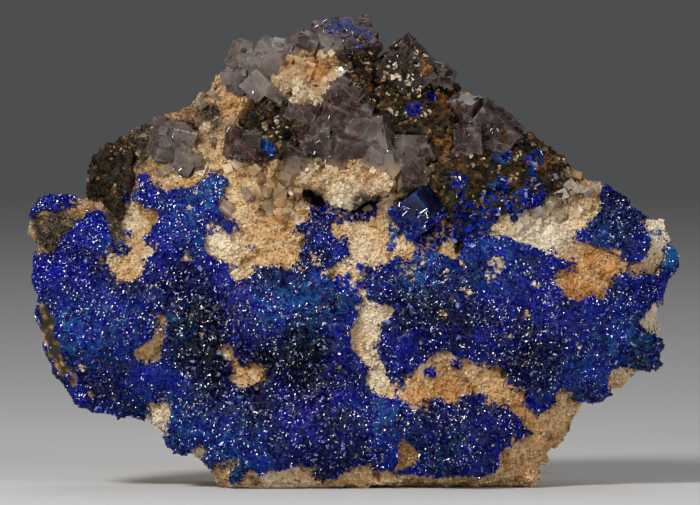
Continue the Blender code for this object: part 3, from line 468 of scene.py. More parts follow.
class Paint:
    """A new material, with short ways to build the nodes behind its colour."""

    def __init__(self, name):
        self.material = bpy.data.materials.new(name)
        self.material.use_nodes = True
        self.tree = self.material.node_tree
        self.shader = self.tree.nodes["Principled BSDF"]

    def put(self, sockets, values):
        """Links each named socket, or gives it a colour (a tuple), a vector (a list) or a number."""
        for name, value in values.items():
            if isinstance(value, bpy.types.NodeSocket):
                self.tree.links.new(value, sockets[name])
            elif isinstance(value, tuple):
                sockets[name].default_value = (*value, 1.0)
            else:
                sockets[name].default_value = value

    def add(self, kind, output, inputs, **settings):
        """Adds a node with these inputs and settings, and returns one of its outputs."""
        node = self.tree.nodes.new("ShaderNode" + kind)
        for name, value in settings.items():
            setattr(node, name, value)
        self.put(node.inputs, inputs)
        return node.outputs[output]

    def finished(self, **inputs):
        """The material, with its shader's inputs set; an underline stands for a space."""
        self.put(self.shader.inputs, {name.replace("_", " "): value for name, value in inputs.items()})
        return self.material

    def noise(self, scale, detail=4.0, roughness=0.6):
        """Noise over the object's own coordinates; the scale is in features per metre."""
        place = self.add("TexCoord", "Object", {})
        return self.add("TexNoise", "Fac", {
            "Vector": place, "Scale": scale, "Detail": detail, "Roughness": roughness})

    def cells(self, scale, feature="F1"):
        """Distance to the middle of each random cell, or to its edge."""
        place = self.add("TexCoord", "Object", {})
        return self.add("TexVoronoi", "Distance", {"Vector": place, "Scale": scale}, feature=feature)

    def attribute(self, name):
        return self.add("Attribute", "Fac", {}, attribute_name=name)

    def ramp(self, value, stops):
        """A colour ramp: stops of (position, (r, g, b))."""
        ramp = self.tree.nodes.new("ShaderNodeValToRGB")
        elements = ramp.color_ramp.elements
        while len(elements) < len(stops):
            elements.new(0.5)
        for element, (position, colour) in zip(elements, stops):
            element.position = position
            element.color = (*colour, 1.0)
        self.put(ramp.inputs, {"Fac": value})
        return ramp.outputs["Color"]

    def mask(self, value, low, high):
        """A value in 0..1 that rises between low and high."""
        return self.add("MapRange", "Result", {"Value": value, "From Min": low, "From Max": high})

    def mix(self, factor, first, second, blend="MIX"):
        """Mixes two colours, each a socket or (r, g, b); the factor is a socket in 0..1."""
        return self.add("Mix", 2, {0: factor, 6: first, 7: second}, data_type="RGBA", blend_type=blend)

    def math(self, operation, first, second):
        return self.add("Math", 0, {0: first, 1: second}, operation=operation)

    def times(self, first, second):
        return self.math("MULTIPLY", first, second)

    def weighted(self, *terms):
        """The sum of some values, each times its weight."""
        total = self.times(*terms[0])
        for term in terms[1:]:
            total = self.math("ADD", total, self.times(*term))
        return total

    def bump(self, height, distance, strength=1.0):
        inputs = {"Height": height, "Distance": distance * MM, "Strength": strength}
        self.put(self.shader.inputs, {"Normal": self.add("Bump", "Normal", inputs)})


def rock_colour(paint):
    """Cream sugary rock: grains, tan patches, orange iron stains, dark specks, and dark stains and painted
    shade in the pits and hollows.
    """
    grain = paint.attribute("grain")
    dark = paint.attribute("dark")
    tone = paint.weighted((grain, 0.38), (paint.noise(800), 0.32), (paint.noise(230, 5.0), 0.45))
    colour = paint.ramp(tone, [
        (0.40, (0.36, 0.18, 0.060)), (0.50, (0.60, 0.37, 0.155)),
        (0.60, (0.72, 0.51, 0.27)), (0.72, (0.86, 0.74, 0.52))])
    tan = paint.mask(paint.noise(130), 0.45, 0.62)
    colour = paint.mix(paint.times(tan, 0.6), colour, (0.86, 0.66, 0.42), "MULTIPLY")
    pale = paint.times(paint.attribute("pale"), 0.85)
    colour = paint.mix(pale, colour, (0.84, 0.75, 0.56))
    blotch = paint.mask(paint.noise(420, 6.0), 0.20, 0.52)
    rust = paint.ramp(paint.noise(330, 5.0), [(0.38, (0.60, 0.29, 0.080)), (0.62, (0.34, 0.135, 0.030))])
    colour = paint.mix(paint.times(paint.attribute("orange"), blotch), colour, rust)
    speck = paint.mask(paint.noise(600, 3.0), 0.33, 0.28)
    colour = paint.mix(paint.times(speck, 0.8), colour, (0.10, 0.05, 0.02))
    # Darker where the dark attribute is high, down to near black at its strongest: partly dark stains, partly
    # painted shade in the pits and hollows.
    stain_and_shade_mask = paint.mask(paint.noise(520, 5.0), 0.30, 0.52)
    colour = paint.mix(paint.times(dark, stain_and_shade_mask), colour, (0.26, 0.20, 0.13), "MULTIPLY")
    murk = paint.times(paint.mask(dark, 0.55, 0.95), stain_and_shade_mask)
    return paint.mix(murk, colour, (0.030, 0.020, 0.010))


def rock_material(name, transmission=0.0):
    """The rock, or its larger crystals where they let some light through."""
    paint = Paint(name)
    if not transmission:
        paint.bump(paint.cells(2000), distance=0.38)
    return paint.finished(
        Base_Color=rock_colour(paint), Roughness=0.45, Subsurface_Weight=0.12, Subsurface_Scale=MM,
        Subsurface_Radius=[1.0, 0.6, 0.35], Transmission_Weight=transmission)


def clear_material():
    """Cloudy clear crystal, greyish or honey-coloured."""
    paint = Paint("clear crystal")
    cloud = paint.ramp(paint.noise(500, 5.0, 0.7), [(0.35, (0.22, 0.17, 0.135)), (0.65, (0.66, 0.58, 0.48))])
    colour = paint.mix(paint.attribute("honey"), cloud, (0.98, 0.72, 0.38), "MULTIPLY")
    paint.bump(paint.noise(900, 3.0), distance=0.2)
    return paint.finished(Base_Color=colour, Roughness=0.25, IOR=FLUORITE_IOR, Transmission_Weight=0.35)


def blue_colour(paint):
    """Deep blue that varies from ink to azure, crystal by crystal, with a few crystals painted pale as
    glints: a painted highlight.
    """
    grain = paint.attribute("grain")
    ink = paint.attribute("ink")
    tone = paint.weighted((grain, 0.34), (paint.noise(240, 7.0, 0.65), 0.80), (ink, -0.34))
    colour = paint.ramp(tone, [
        (0.20, (0.0002, 0.0006, 0.007)), (0.45, (0.0005, 0.0018, 0.068)), (0.64, (0.0010, 0.0045, 0.26)),
        (0.82, (0.002, 0.017, 0.47)), (0.97, (0.012, 0.12, 0.62))])
    mottle = paint.mask(paint.noise(700, 5.0), 0.46, 0.58)
    teal = paint.times(paint.attribute("teal"), mottle)
    colour = paint.mix(paint.times(teal, 0.85), colour, (0.012, 0.14, 0.36))
    # A few crystals are painted pale blue-white: painted glints.
    painted_glint = paint.mask(grain, 0.955, 0.96)
    return paint.mix(paint.times(painted_glint, 0.8), colour, (0.22, 0.29, 0.55))


def linarite_material(paint, roughness):
    return paint.finished(Base_Color=blue_colour(paint), Roughness=roughness, IOR=1.5)


def glassy_material():
    """The single large blue crystal, glossier than the crusts and slightly wavy."""
    paint = Paint("blue crystal")
    paint.bump(paint.noise(700), distance=0.22, strength=0.8)
    return linarite_material(paint, roughness=0.06)


def bed_material():
    """The ground of the blue crusts, with rock showing where the crust is worn."""
    paint = Paint("linarite bed")
    colour = paint.mix(paint.attribute("bare"), blue_colour(paint), rock_colour(paint))
    return paint.finished(Base_Color=colour, Roughness=0.5, IOR=1.35)


def gossan_material():
    """Dark brown to black granular gossan with tan and rusty grains."""
    paint = Paint("gossan")
    spread = paint.math("POWER", paint.attribute("grain"), 2.0)
    tone = paint.weighted((spread, 0.60), (paint.noise(700), 0.50), (paint.attribute("tan"), 0.10))
    colour = paint.ramp(tone, [
        (0.20, (0.004, 0.003, 0.001)), (0.48, (0.020, 0.0125, 0.004)), (0.64, (0.062, 0.038, 0.012)),
        (0.78, (0.17, 0.10, 0.036)), (0.92, (0.66, 0.55, 0.41))])
    rusty = paint.math("ADD", paint.attribute("rust"), 0.25)
    rust = paint.times(paint.mask(paint.noise(420, 5.0), 0.50, 0.66), rusty)
    colour = paint.mix(rust, colour, (0.32, 0.115, 0.022))
    colour = paint.mix(paint.attribute("shade"), colour, (0.58, 0.56, 0.48), "MULTIPLY")
    paint.bump(paint.noise(1400), distance=0.3)
    return paint.finished(Base_Color=colour, Roughness=0.45, IOR=1.28)


def galena_material():
    """Lead-grey metallic cleavage cubes."""
    return Paint("galena").finished(Base_Color=(0.06, 0.06, 0.065), Roughness=0.25, Metallic=1.0)


def fluorite_material():
    """Cloudy violet-grey fluorite with pale seams and a painted highlight along its edges, under cream, dark
    and blue stains.
    """
    paint = Paint("fluorite")
    cloud = paint.weighted((paint.noise(330, 6.0, 0.72), 0.75), (paint.attribute("grain"), 0.25))
    violet = paint.ramp(cloud, [
        (0.36, (0.017, 0.007, 0.005)), (0.48, (0.053, 0.022, 0.018)),
        (0.58, (0.120, 0.058, 0.049)), (0.70, (0.33, 0.22, 0.18))])
    violet = paint.mix(paint.times(paint.attribute("pale"), 0.75), violet, (0.42, 0.36, 0.31))
    seam = paint.mask(paint.cells(380, "DISTANCE_TO_EDGE"), 0.05, 0.0)
    # Pale near the sharp edges, broken up by noise: a painted edge highlight.
    rim = paint.math("MAXIMUM", paint.attribute("rim"), paint.times(seam, 0.6))
    rim = paint.times(rim, paint.mask(paint.noise(800, 3.0), 0.35, 0.65))
    violet = paint.mix(paint.times(rim, 0.8), violet, (0.56, 0.50, 0.46))
    colour = paint.mix(paint.attribute("cream"), violet, (0.62, 0.44, 0.27))
    colour = paint.mix(paint.attribute("dark"), colour, (0.018, 0.012, 0.007))
    smear = paint.mask(paint.noise(380, 5.0), 0.48, 0.54)
    colour = paint.mix(paint.times(paint.attribute("blue"), smear), colour, (0.006, 0.03, 0.30))
    paint.bump(paint.noise(500, 2.0), distance=0.05, strength=0.4)
    return paint.finished(Base_Color=colour, Roughness=0.13, IOR=FLUORITE_IOR, Transmission_Weight=0.45)


def give(obj, finish, node=None):
    """Gives a piece its material, attaches it to the root body and hides the node it takes the place of."""
    obj.data.materials.clear()
    obj.data.materials.append(finish)
    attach(obj, "root")
    if node:
        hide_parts(node)


def named(obj, ending=""):
    """The name of the solid behind a piece, with another ending."""
    return obj.name.replace("_bed", "").replace("_cubes", "") + ending


def tree_of(objects):
    """One search tree over several meshes, in millimetres."""
    points = []
    faces = []
    for obj in objects:
        first = len(points)
        points += [tuple(place) for place in points_of(obj.data)]
        faces += [tuple(first + i for i in face.vertices) for face in obj.data.polygons]
    return BVHTree.FromPolygons(points, faces)


def tree_of_points(points):
    tree = KDTree(len(points))
    for i, place in enumerate(points):
        tree.insert(place, i)
    tree.balance()
    return tree


def distances(tree, places):
    found = [tree.find_nearest(Vector(place), FARTHEST_CRUST)[3] for place in places]
    return np.array([FARTHEST_CRUST if away is None else away for away in found])


def uncovered(places, directions):
    """Which places on the rock have no crust over them, along their outward directions."""
    return np.array([cover_tree.ray_cast(Vector(place), Vector(direction), THICKEST_CRUST)[0] is None
                     for place, direction in zip(places, directions)], bool)


# How densely things grow on each triangle, from its middle and its outward direction

def front_share(normals):
    """How far each surface direction faces the front, in 0..1."""
    return smoothstep(-0.1, 0.35, -normals[:, 1])


def outer_share(middles, normals):
    """Leaves out a crust's underside."""
    return (normals[:, 1] < 0.35).astype(float)


def crust_share(middles, normals):
    return outer_share(middles, normals) * (bareness(middles) < 0.5)


def patch_share(spots, layer):
    """Keeps growth to the spots, on ground near the front that doesn't face back."""
    def share(middles, normals):
        facing = (normals[:, 1] < 0.1) & (middles[:, 1] < PATCH_DEPTH)
        return facing * patchy(middles, spots, layer, 0.4)
    return share


# Where the surfaces are stained, and where shade is painted on them

def inkiness(places):
    return np.clip(spots_at(places, INK_PATCHES) + 0.7 * noise_at(places, 9.0, 15), 0.0, 1.0)


def pits_at(points):
    """How deep in a small pit each point of the rock lies, in 0..1."""
    return smoothstep(0.36, 0.56, layered_noise(points, 27, (1.9, 1.0), (0.8, 0.25)))


def edge_noise(points):
    """The raggedness shared by the worn edges of the crusts and the growth beyond them."""
    return layered_noise(points, 45, (1.7, 1.5), (0.7, 0.7))


def bareness(points):
    """Where a crust is worn off: along its edges in bites, and in a ragged band along the left rim."""
    to_bare = np.array([bare_tree.find(place)[2] for place in points])
    rim = spots_at(points, EARTH_RIM) + 0.6 * noise_at(points, 1.6, 26) > 0.6
    return np.maximum(smoothstep(0.15, -0.15, to_bare - 0.65 - edge_noise(points)), rim)


def stain(mesh, points, **spots):
    """Writes how strong the named spots are at each point."""
    for name, places in spots.items():
        set_attribute(mesh, name, spots_at(points, places))


def stain_and_shade_rock(mesh, front):
    """Writes where the rock is orange, dark and pale, its dark including painted shade in the pits and
    hollows; front says how far each point faces the front.
    """
    points = points_of(mesh)
    veins = smoothstep(0.10, 0.45, layered_noise(points, 6, (14.0, 1.0), (4.0, 0.4)))
    murk = smoothstep(0.2, 0.5, layered_noise(points, 8, (11.0, 1.0), (3.0, 0.4)))
    dark = mix(0.65 * murk, spots_at(points, DARK_STAINS_AND_SHADOWS), front)
    set_attribute(mesh, "orange", mix(0.55 * veins, spots_at(points, ORANGE_STAINS), front))
    # The pits are darkened as well: painted shade.
    set_attribute(mesh, "dark", dark + 0.7 * pits_at(points) + spots_at(points, EARTH_RIM))
    set_attribute(mesh, "pale", mix(0.2, spots_at(points, PALE_STAINS), front))


def stain_blue(mesh):
    points = points_of(mesh)
    stain(mesh, points, teal=TEAL_PATCHES)
    set_attribute(mesh, "ink", inkiness(points))


def stain_gossan(mesh):
    stain(mesh, points_of(mesh), tan=TAN_GOSSAN, rust=RUST_GOSSAN, shade=SHADED_GOSSAN)


def stain_fluorite(mesh):
    """Cream on the lower middle crystals and in spots, and the dark, pale and blue spots."""
    points = points_of(mesh)
    low = smoothstep(CREAM_TOP, CREAM_FULL, points[:, 2] + 1.5 * noise_at(points, 3.0, 21))
    low = 0.95 * low * (points[:, 0] < CREAM_RIGHT) * (points[:, 0] > CREAM_LEFT)
    tan = spots_at(points, TAN_FLUORITE) * smoothstep(-0.5, 0.3, noise_at(points, 1.2, 29))
    set_attribute(mesh, "cream", low + spots_at(points, CREAM_COAT) + 0.7 * tan - 0.3)
    set_attribute(mesh, "dark", 0.9 * spots_at(points, DARK_COAT))
    stain(mesh, points, pale=PALE_FLUORITE, blue=BLUE_COAT)


# The rock and the crystals of its own minerals

def build_rock():
    """The rock with broken facets and sugary relief, its flat base kept flat."""
    made = fine_copy("rock", "matrix", growth=0.0, voxel=ROCK_VOXEL)
    points = points_of(made.data)
    front = front_share(normals_of(made.data))
    broken = (facets_at(points, size=7.0, slope=0.30, layer=1)
              + facets_at(points, size=3.2, slope=0.34, layer=2))
    sugary = facets_at(points, size=1.5, slope=0.50, layer=3)
    lumps = layered_noise(points, 4, (4.0, 0.50), (1.6, 0.35))
    relief = mix(broken, 0.25 * broken, front) + sugary + lumps
    relief = np.clip(relief, -1.6, mix(1.0, 0.75, front))
    relief -= front * (spots_at(points, HOLLOWS) + 0.7 * pits_at(points))
    relief[points[:, 2] < BASE_EDGE] = 0.0
    points = raised(made.data, relief, lowest=0.0)
    # The tone also follows the relief, darker in the recesses and lighter on raised parts: painted shade.
    set_attribute(made.data, "grain", 0.5 + 0.4 * noise_at(points, 0.8, 10) + 0.35 * relief)
    stain_and_shade_rock(made.data, front)
    made.data.shade_flat()
    give(made, rock_finish, "matrix")
    return made


def bare_rock():
    """Points of the rock's front with no blue crust near."""
    points = points_of(rock.data)
    is_bare = (distances(blue_tree, points) > 0.8) & (front_share(normals_of(rock.data)) > 0.3)
    return points[is_bare]


def grow_pale(name, shape, places, normals, sizes, lean, sink, finish=None, front=1.0):
    """Cubes or cube corners of the rock's own minerals, tipped at random."""
    if not len(places):
        return
    grown = crystals(name, shape, places, leaning(normals, lean), sizes, sizes, sizes, sink)
    stain_and_shade_rock(grown.data, np.repeat(front * np.ones(len(places)), len(shape[0])))
    give(grown, finish or druse_finish)


def grow_sugar():
    """Fine cube corners all over the bare rock."""
    def share(middles, normals):
        return mix(0.1, 1.0, front_share(normals)) * (middles[:, 2] > 0.6)

    places, normals = scattered(rock.data, "sugar", share)
    bare = uncovered(places, normals) & (distances(blue_tree, places) > 0.35)
    places, normals = places[bare], normals[bare]
    sizes = 1.5 * varied(len(places), least=0.16, spread=0.42, power=3)
    grow_pale("sugar", RHOMB, places, normals, sizes, lean=0.7, sink=0.5,
              finish=rock_finish, front=front_share(normals))


def grow_druse():
    """Coarser cubes in the druse stretches of the rock."""
    def share(middles, normals):
        return front_share(normals) * patchy(middles, COARSE_DRUSE, layer=31, raggedness=0.3)

    places, normals = scattered(rock.data, "druse", share)
    sizes = varied(len(places), least=0.6, spread=1.1)
    grow_pale("druse", CUBE, places, normals, sizes, lean=0.6, sink=0.6)


def grow_clear():
    """Single clear crystals, grey to honey, well sunk in the rock or the crust."""
    table = np.array(CLEAR_CRYSTALS)
    ground = tree_of([rock] + blue_beds)
    found = [ground.ray_cast(Vector((x, -60.0, z)), Vector((0.0, 1.0, 0.0))) for x, z, _, _ in CLEAR_CRYSTALS]
    places = np.array([hit[0] for hit in found])
    axes = leaning(np.array([hit[1] for hit in found]), lean=0.4)
    tip_first = np.arange(len(table)) % 2 == 0
    for part, shape, chosen, scale in (("tips", RHOMB, tip_first, 1.3), ("cubes", CUBE, ~tip_first, 0.9)):
        lengths = scale * table[chosen, 2]
        grown = crystals("clear_" + part, shape, places[chosen], axes[chosen],
                         lengths, lengths, 0.8 * lengths, sink=0.65)
        set_attribute(grown.data, "honey", np.repeat(table[chosen, 3], len(shape[0])))
        give(grown, clear_finish)


def grow_islands(bed):
    """Grey to cream cube corners that poke out of a blue crust."""
    places, normals = scattered(bed.data, "islands", patch_share(CREAM_ISLANDS, layer=42))
    sizes = rng.uniform(0.5, 1.5, len(places))
    grow_pale(named(bed, "_islands"), RHOMB, places, normals, sizes, lean=0.4, sink=0.62)


def grow_cream(name, mesh, kind, share, largest):
    """Cream cubes, well sunk in their ground."""
    places, normals = scattered(mesh, kind, share)
    sizes = varied(len(places), least=0.3, spread=largest - 0.3)
    grow_pale(name, CUBE, places, normals, sizes, lean=0.8, sink=0.72)


def build_ledge():
    """The pale ledge under the middle fluorite, thick and ragged, with a toothed lower edge."""
    count = len(LEDGE_OUTLINE)
    corners = [(x, y, z) for y in (LEDGE_FRONT, LEDGE_BACK) for x, z in LEDGE_OUTLINE]
    ends = [tuple(range(count))[::-1], tuple(range(count, 2 * count))]
    sides = [(i, (i + 1) % count, (i + 1) % count + count, i + count) for i in range(count)]
    mesh = bpy.data.meshes.new("ledge")
    mesh.from_pydata([Vector(corner) * MM for corner in corners], [], ends + sides)
    solid = bmesh.new()
    solid.from_mesh(mesh)
    bmesh.ops.recalc_face_normals(solid, faces=solid.faces)
    solid.to_mesh(mesh)
    solid.free()
    ledge = remeshed(new_object("ledge", mesh), CRUST_VOXEL)
    points = points_of(ledge.data)
    relief = facets_at(points, size=1.6, slope=0.4, layer=4) + 0.3 * noise_at(points, 1.2, 23)
    raised(ledge.data, relief, LOWEST)
    # Darker where the ledge is recessed and lighter where it is raised: painted shade.
    set_attribute(ledge.data, "grain", 0.6 + 0.4 * relief)
    stain_and_shade_rock(ledge.data, np.ones(len(points)))
    ledge.data.shade_flat()
    give(ledge, rock_finish)
    grow_cream("ledge_teeth", ledge.data, "teeth", outer_share, largest=0.65)


# The blue and the dark crusts

def build_bed(node, finish, slot, growth, relief):
    """A crust's solid bed: the node a little swollen, with a lumpy, ragged surface."""
    bed = fine_copy(node + "_bed", node, growth, CRUST_VOXEL)
    lumps = relief * layered_noise(points_of(bed.data), 12, (3.2, 1.0), (1.3, 0.8)) - 0.1
    points = raised(bed.data, lumps, LOWEST)
    bed.data.shade_flat()
    # The tone also follows the lumps, darker between them: painted shade.
    set_attribute(bed.data, "grain", 0.35 + 0.3 * noise_at(points, 0.9, 14) + 0.3 * lumps)
    give(bed, finish, node)
    return bed


def grow_linarite(name, places, normals, length, coarse_share=0.0):
    """Fine blue chisels, and among them coarser blades, in fans that share a lean."""
    coarse = rng.random(len(places)) < coarse_share
    fans = np.array([noise.noise_vector(place) for place in places / 1.9])
    # Each kind's scale, how far its fans lean and how loose they are
    for part, shape, chosen, scale, fan, loose in (
            ("fine", CHISEL, ~coarse, 1.0, 0.9, 0.55), ("blades", BLADE, coarse, 2.2, 2.2, 0.18)):
        count = int(chosen.sum())
        if not count:
            continue
        front = mix(0.55, 1.0, front_share(normals[chosen]))
        axes = leaning(normals[chosen] + fan * fans[chosen], loose)
        lengths = scale * length * rng.uniform(0.7, 1.5, count) * front
        widths = scale * length * rng.uniform(0.5, 1.0, count)
        thicknesses = length * rng.uniform(0.3, 0.65, count)
        grown = crystals(name + "_" + part, shape, places[chosen], axes,
                         lengths, widths, thicknesses, sink=0.3)
        stain_blue(grown.data)
        give(grown, blue_finish)


def grow_glints(name, places, normals, least_alike, longest, finish=None):
    """Small flat crystals that mirror one of the front lamps towards the front.

    They grow only where the ground already faces nearly the right way.
    """
    lamps = units(np.array([place for _, place, _, _ in FRONT_LAMPS]) - MIDDLE)
    facing = units(lamps + np.array([0.0, -1.0, 0.0]))[rng.integers(len(lamps), size=len(places))]
    clusters = layered_noise(places, 16, (2.4, 1.0), (7.0, 0.5))
    clustered = clusters + 0.3 * rng.normal(size=len(places)) > -0.05
    seen = clustered & (np.einsum("ij,ij->i", facing, normals) > least_alike)
    places, facing = places[seen], facing[seen]
    count = len(places)
    axes = leaning(facing, lean=0.07)
    widths = varied(count, least=0.10, spread=longest - 0.10)
    across = STREAK_DIRECTION + 0.5 * rng.normal(size=(count, 3))
    grown = crystals(name, TILE, places + 0.2 * axes, axes, np.full(count, 0.45), widths,
                     rng.uniform(0.06, 0.15, count), sink=0.73, across=across)
    stain_blue(grown.data)
    give(grown, finish or blue_finish)


def dress_crust(bed):
    """Stains a blue crust and grows its crystals and its glints."""
    stain_blue(bed.data)
    stain_and_shade_rock(bed.data, np.ones(len(bed.data.vertices)))
    set_attribute(bed.data, "bare", bareness(points_of(bed.data)))
    places, normals = scattered(bed.data, "blue", crust_share)
    coarse_share = 0.25 * inkiness(places)
    grow_linarite(named(bed), places, normals, BLUE_LENGTH["crust"], coarse_share)
    places, normals = scattered(bed.data, "blue glints", crust_share)
    grow_glints(named(bed, "_glints"), places, normals, least_alike=0.45, longest=0.36)


def grow_patches(ground):
    """Ragged islands of blue crystals beyond the crusts."""
    places, normals = scattered(ground.data, "patch", patch_share(BLUE_PATCHES, layer=41))
    if ground is rock:
        shown = uncovered(places, normals)
        places, normals = places[shown], normals[shown]
    grow_linarite(named(ground, "_blue"), places, normals, BLUE_LENGTH["patch"], coarse_share=0.1)


def grow_spill():
    """Blue crystals on the rock just outside the crusts, as ragged as the crusts' worn edges."""
    places, normals = scattered(rock.data, "spill", lambda middles, normals: front_share(normals))
    away = distances(blue_tree, places)
    near = (away < SPILL_REACH) & uncovered(places, normals)
    places, normals, away = places[near], normals[near], away[near]
    spilled = away < 0.35 - edge_noise(places) + 0.25 * rng.normal(size=len(away))
    grow_linarite("spill", places[spilled], normals[spilled], BLUE_LENGTH["crust"])


def grow_gossan(name, mesh, kind, share):
    """Dark grains of mixed sizes, with clusters of pale flakes and a few metallic cubes."""
    places, normals = scattered(mesh, kind, share)
    count = len(places)
    sizes = varied(count, least=0.22, spread=1.1, power=3)
    axes = leaning(normals, lean=0.8)
    clusters = smoothstep(0.0, 0.5, layered_noise(places, 18, (2.0, 1.0), (0.8, 0.4)))
    pale = rng.random(count) < clusters * (0.10 + 0.55 * spots_at(places, TAN_GOSSAN))
    if pale.any():
        some = sizes[pale]
        flakes = crystals(name + "_flakes", BLADE, places[pale] + 0.15 * normals[pale], axes[pale],
                          0.12 + 0.2 * some, 0.28 + 0.65 * some, 0.16 + 0.35 * some, sink=0.2)
        lightest = np.ones(len(flakes.data.vertices), np.float32)
        flakes.data.attributes["grain"].data.foreach_set("value", lightest)
        stain_gossan(flakes.data)
        give(flakes, gossan_finish)
    shiny = rng.random(count) < GALENA_SHARE
    for part, shape, chosen, finish in (
            ("grains", LUMP, ~shiny, gossan_finish), ("galena", CUBE, shiny, galena_finish)):
        if not chosen.any():
            continue
        some = sizes[chosen]
        grown = crystals(name + "_" + part, shape, places[chosen], axes[chosen],
                         some, some, 0.8 * some, sink=0.3)
        stain_gossan(grown.data)
        give(grown, finish)


# The fluorite and the single blue crystal

def divide_faces(mesh):
    """Splits long edges, each flat face kept flat, and returns every point's way to the nearest rim."""
    solid = bmesh.new()
    solid.from_mesh(mesh)
    bmesh.ops.triangulate(solid, faces=solid.faces)
    for _ in range(SPLIT_ROUNDS):
        long_edges = [edge for edge in solid.edges if edge.calc_length() > LONG_EDGE * MM]
        bmesh.ops.subdivide_edges(solid, edges=long_edges, cuts=1)
        bmesh.ops.triangulate(solid, faces=solid.faces)
    rims = [edge for edge in solid.edges if edge.calc_face_angle(0.0) > math.radians(RIM_ANGLE)]
    tree = tree_of_points([(edge.verts[0].co + edge.verts[1].co) / 2 for edge in rims])
    to_rim = np.array([tree.find(vert.co)[2] for vert in solid.verts]) / MM
    solid.to_mesh(mesh)
    solid.free()
    return to_rim


def soft_cubes(name, node):
    """A group of cubes with softened edges, its faces divided so that stains can vary over them."""
    group = welded_copy(name, node)
    bevel = group.modifiers.new("soft edges", "BEVEL")
    bevel.width = SOFT_EDGE * MM
    bevel.segments = 2
    bevel.limit_method = "ANGLE"
    bevel.angle_limit = math.radians(SOFTENED_ANGLE)
    applied(group)
    to_rim = divide_faces(group.data)
    # Nearness to the rims, which the materials paint as an edge highlight.
    set_attribute(group.data, "rim", np.exp(-to_rim / RIM_WIDTH))
    set_attribute(group.data, "grain", 0.5 + 0.5 * noise_at(points_of(group.data), 2.5, 22))
    group.data.shade_flat()
    return group


def build_blue_crystal():
    """The single large blue crystal: glassy with streaks of glints, its foot in fine druse."""
    cube = soft_cubes("blue_crystal_cube", "blue_crystal")
    points = points_of(cube.data)
    rim = np.empty(len(points))
    cube.data.attributes["rim"].data.foreach_get("value", rim)
    # Teal along the rims is a painted edge highlight; the crystal also turns tealer towards its foot and
    # darker towards its top.
    set_attribute(cube.data, "teal", 0.6 * rim + 0.15 * smoothstep(46.0, 43.0, points[:, 2]))
    set_attribute(cube.data, "ink", 0.7 + 0.3 * smoothstep(42.0, 47.0, points[:, 2]))
    give(cube, glassy_finish, "blue_crystal")

    def foot_share(middles, normals):
        height = FOOT_Z + 0.6 * np.abs(middles[:, 0] - FOOT_X) + noise_at(middles, 1.5, 24)
        return (middles[:, 2] < height).astype(float)

    def streak_share(middles, normals):
        return spots_at(middles, CRYSTAL_STREAKS) * (noise_at(middles * [1.0, 1.0, 0.35], 0.8, 25) > 0.1)

    places, normals = scattered(cube.data, "foot", foot_share)
    grow_linarite("blue_crystal_foot", places, normals, BLUE_LENGTH["foot"])
    places, normals = scattered(cube.data, "streaks", streak_share)
    grow_glints("blue_crystal_glints", places + 0.05 * normals, normals, least_alike=0.3, longest=1.5)


def grow_steps(node):
    """Low square steps and small buds of cubes on the faces of a fluorite group, along their edges."""
    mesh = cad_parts[node].data
    places, axes, across = [], [], []
    for polygon in mesh.polygons:
        area = polygon.area / MM ** 2
        ring = [np.array(mesh.vertices[i].co) / MM for i in polygon.vertices]
        along = max((b - a for a, b in zip(ring, ring[1:] + ring[:1])), key=lambda side: side @ side)
        for _ in range(rng.poisson(PER_MM2["steps"] * area)):
            weights = rng.dirichlet(np.full(len(ring), 0.9))
            places.append(sum(weight * corner for weight, corner in zip(weights, ring)))
            axes.append(np.array(polygon.normal))
            across.append(along)
    places, axes, across = np.array(places), np.array(axes), np.array(across)
    flat = rng.random(len(places)) < STEP_SHARE
    for part, chosen, tilt, low, high in (("steps", flat, 0.01, 0.5, 2.4), ("buds", ~flat, 0.10, 0.4, 1.5)):
        count = int(chosen.sum())
        sizes = varied(count, least=low, spread=high - low)
        tilted = leaning(axes[chosen], tilt)
        rise = rng.uniform(0.4, 1.0, count) * (0.09 if part == "steps" else 0.35 * sizes)
        grown = crystals(node + "_" + part, CUBE, places[chosen], tilted, sizes, sizes,
                         sizes * rng.uniform(0.5, 1.0, count), sink=1.0 - rise / sizes,
                         across=across[chosen])
        stain_fluorite(grown.data)
        give(grown, fluorite_finish)


def build_fluorite(node):
    """A group of fluorite cubes with what grows on their faces."""
    group = soft_cubes(node + "_cubes", node)
    stain_fluorite(group.data)
    give(group, fluorite_finish, node)
    grow_steps(node)
    return group


def grow_coats(group):
    """Cream cubes, dark grains, glints and blue crystals on a fluorite group."""
    grow_cream(named(group, "_cream"), group.data, "cream", patch_share(CREAM_COAT, layer=46), largest=1.2)
    grow_gossan(named(group, "_coat"), group.data, "coat", patch_share(DARK_COAT, layer=43))
    places, normals = scattered(group.data, "glints", outer_share)
    grow_glints(named(group, "_glints"), places + 0.1 * normals, normals, least_alike=0.5, longest=0.9,
                finish=fluorite_finish)
    places, normals = scattered(group.data, "blue coat", patch_share(BLUE_COAT, layer=44))
    grow_linarite(named(group, "_blue"), places, normals, BLUE_LENGTH["coat"])


# The studio

def build_floor():
    mesh = bpy.data.meshes.new("floor")
    mesh.from_pydata([(FLOOR_WIDTH * x, FLOOR_WIDTH * y, 0) for x, y, _ in BASE], [], [(0, 1, 2, 3)])
    floor = new_object("floor", mesh)
    mesh.materials.append(Paint("pale floor").finished(Base_Color=(0.66, 0.65, 0.64), Roughness=0.9))


def build_lights():
    """Square lamps that face the specimen's middle, and a faint sky."""
    for name, place, size, power in FRONT_LAMPS + OTHER_LAMPS:
        lamp = bpy.data.lights.new(name, "AREA")
        lamp.size = size
        lamp.energy = power
        obj = new_object(name, lamp)
        obj.location = place
        obj.rotation_euler = (Vector(MIDDLE) - Vector(place)).to_track_quat("-Z", "Y").to_euler()
    world = bpy.context.scene.world or bpy.data.worlds.new("world")
    bpy.context.scene.world = world
    world.use_nodes = True
    background = world.node_tree.nodes["Background"]
    background.inputs["Color"].default_value = SKY_COLOUR
    background.inputs["Strength"].default_value = SKY_STRENGTH


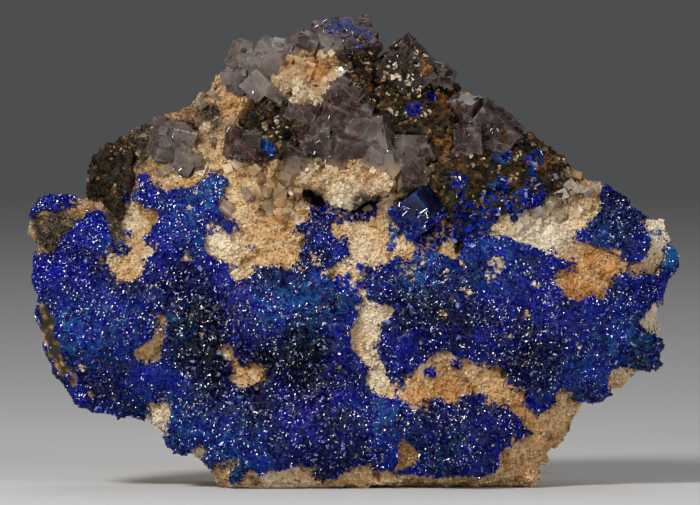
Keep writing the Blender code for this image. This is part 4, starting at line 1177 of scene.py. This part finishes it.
def build_camera():
    camera = new_object("camera", bpy.data.cameras.new("camera"))
    tilt = math.radians(CAMERA_ELEVATION)
    camera.location = (0.0, -CAMERA_DISTANCE * math.cos(tilt) * MM,
                       (VIEW_HEIGHT_Z + CAMERA_DISTANCE * math.sin(tilt)) * MM)
    camera.rotation_euler = (math.radians(90.0 - CAMERA_ELEVATION), 0.0, 0.0)
    camera.data.sensor_width = SENSOR
    camera.data.lens = SENSOR * CAMERA_DISTANCE / VIEW_WIDTH
    camera.data.clip_end = FARTHEST_SEEN
    bpy.context.scene.camera = camera


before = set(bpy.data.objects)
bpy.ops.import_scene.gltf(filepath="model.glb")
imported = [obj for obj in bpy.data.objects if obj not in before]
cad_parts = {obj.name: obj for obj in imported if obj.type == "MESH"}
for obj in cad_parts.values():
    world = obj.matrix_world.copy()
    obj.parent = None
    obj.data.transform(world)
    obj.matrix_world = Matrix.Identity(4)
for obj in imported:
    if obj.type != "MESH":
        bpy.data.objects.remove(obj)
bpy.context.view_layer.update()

build_camera()
build_lights()
build_floor()
bpy.context.scene.view_settings.view_transform = "Standard"

rock_finish = rock_material("cream rock")
druse_finish = rock_material("cream druse", transmission=0.2)
blue_finish = linarite_material(Paint("linarite"), roughness=0.14)
bed_finish = bed_material()
glassy_finish = glassy_material()
clear_finish = clear_material()
gossan_finish = gossan_material()
galena_finish = galena_material()
fluorite_finish = fluorite_material()

rock = build_rock()
blue_beds = [build_bed(node, bed_finish, "linarite", **BLUE_BED) for node in LINARITE_NODES]
dark_beds = [build_bed(node, gossan_finish, "gossan", **DARK_BED) for node in GOSSAN_NODES]
blue_tree = tree_of(blue_beds)
cover_tree = tree_of(blue_beds + dark_beds)
bare_tree = tree_of_points(bare_rock())

grow_sugar()
grow_druse()
grow_clear()
build_blue_crystal()
for bed in blue_beds:
    dress_crust(bed)
for bed in dark_beds:
    stain_gossan(bed.data)
    grow_gossan(named(bed), bed.data, "gossan", outer_share)
fluorite_groups = [build_fluorite(node) for node in FLUORITE_NODES]
for ground in [rock] + dark_beds:
    grow_patches(ground)
for bed in blue_beds:
    grow_islands(bed)
build_ledge()
for group in fluorite_groups:
    grow_coats(group)
grow_spill()
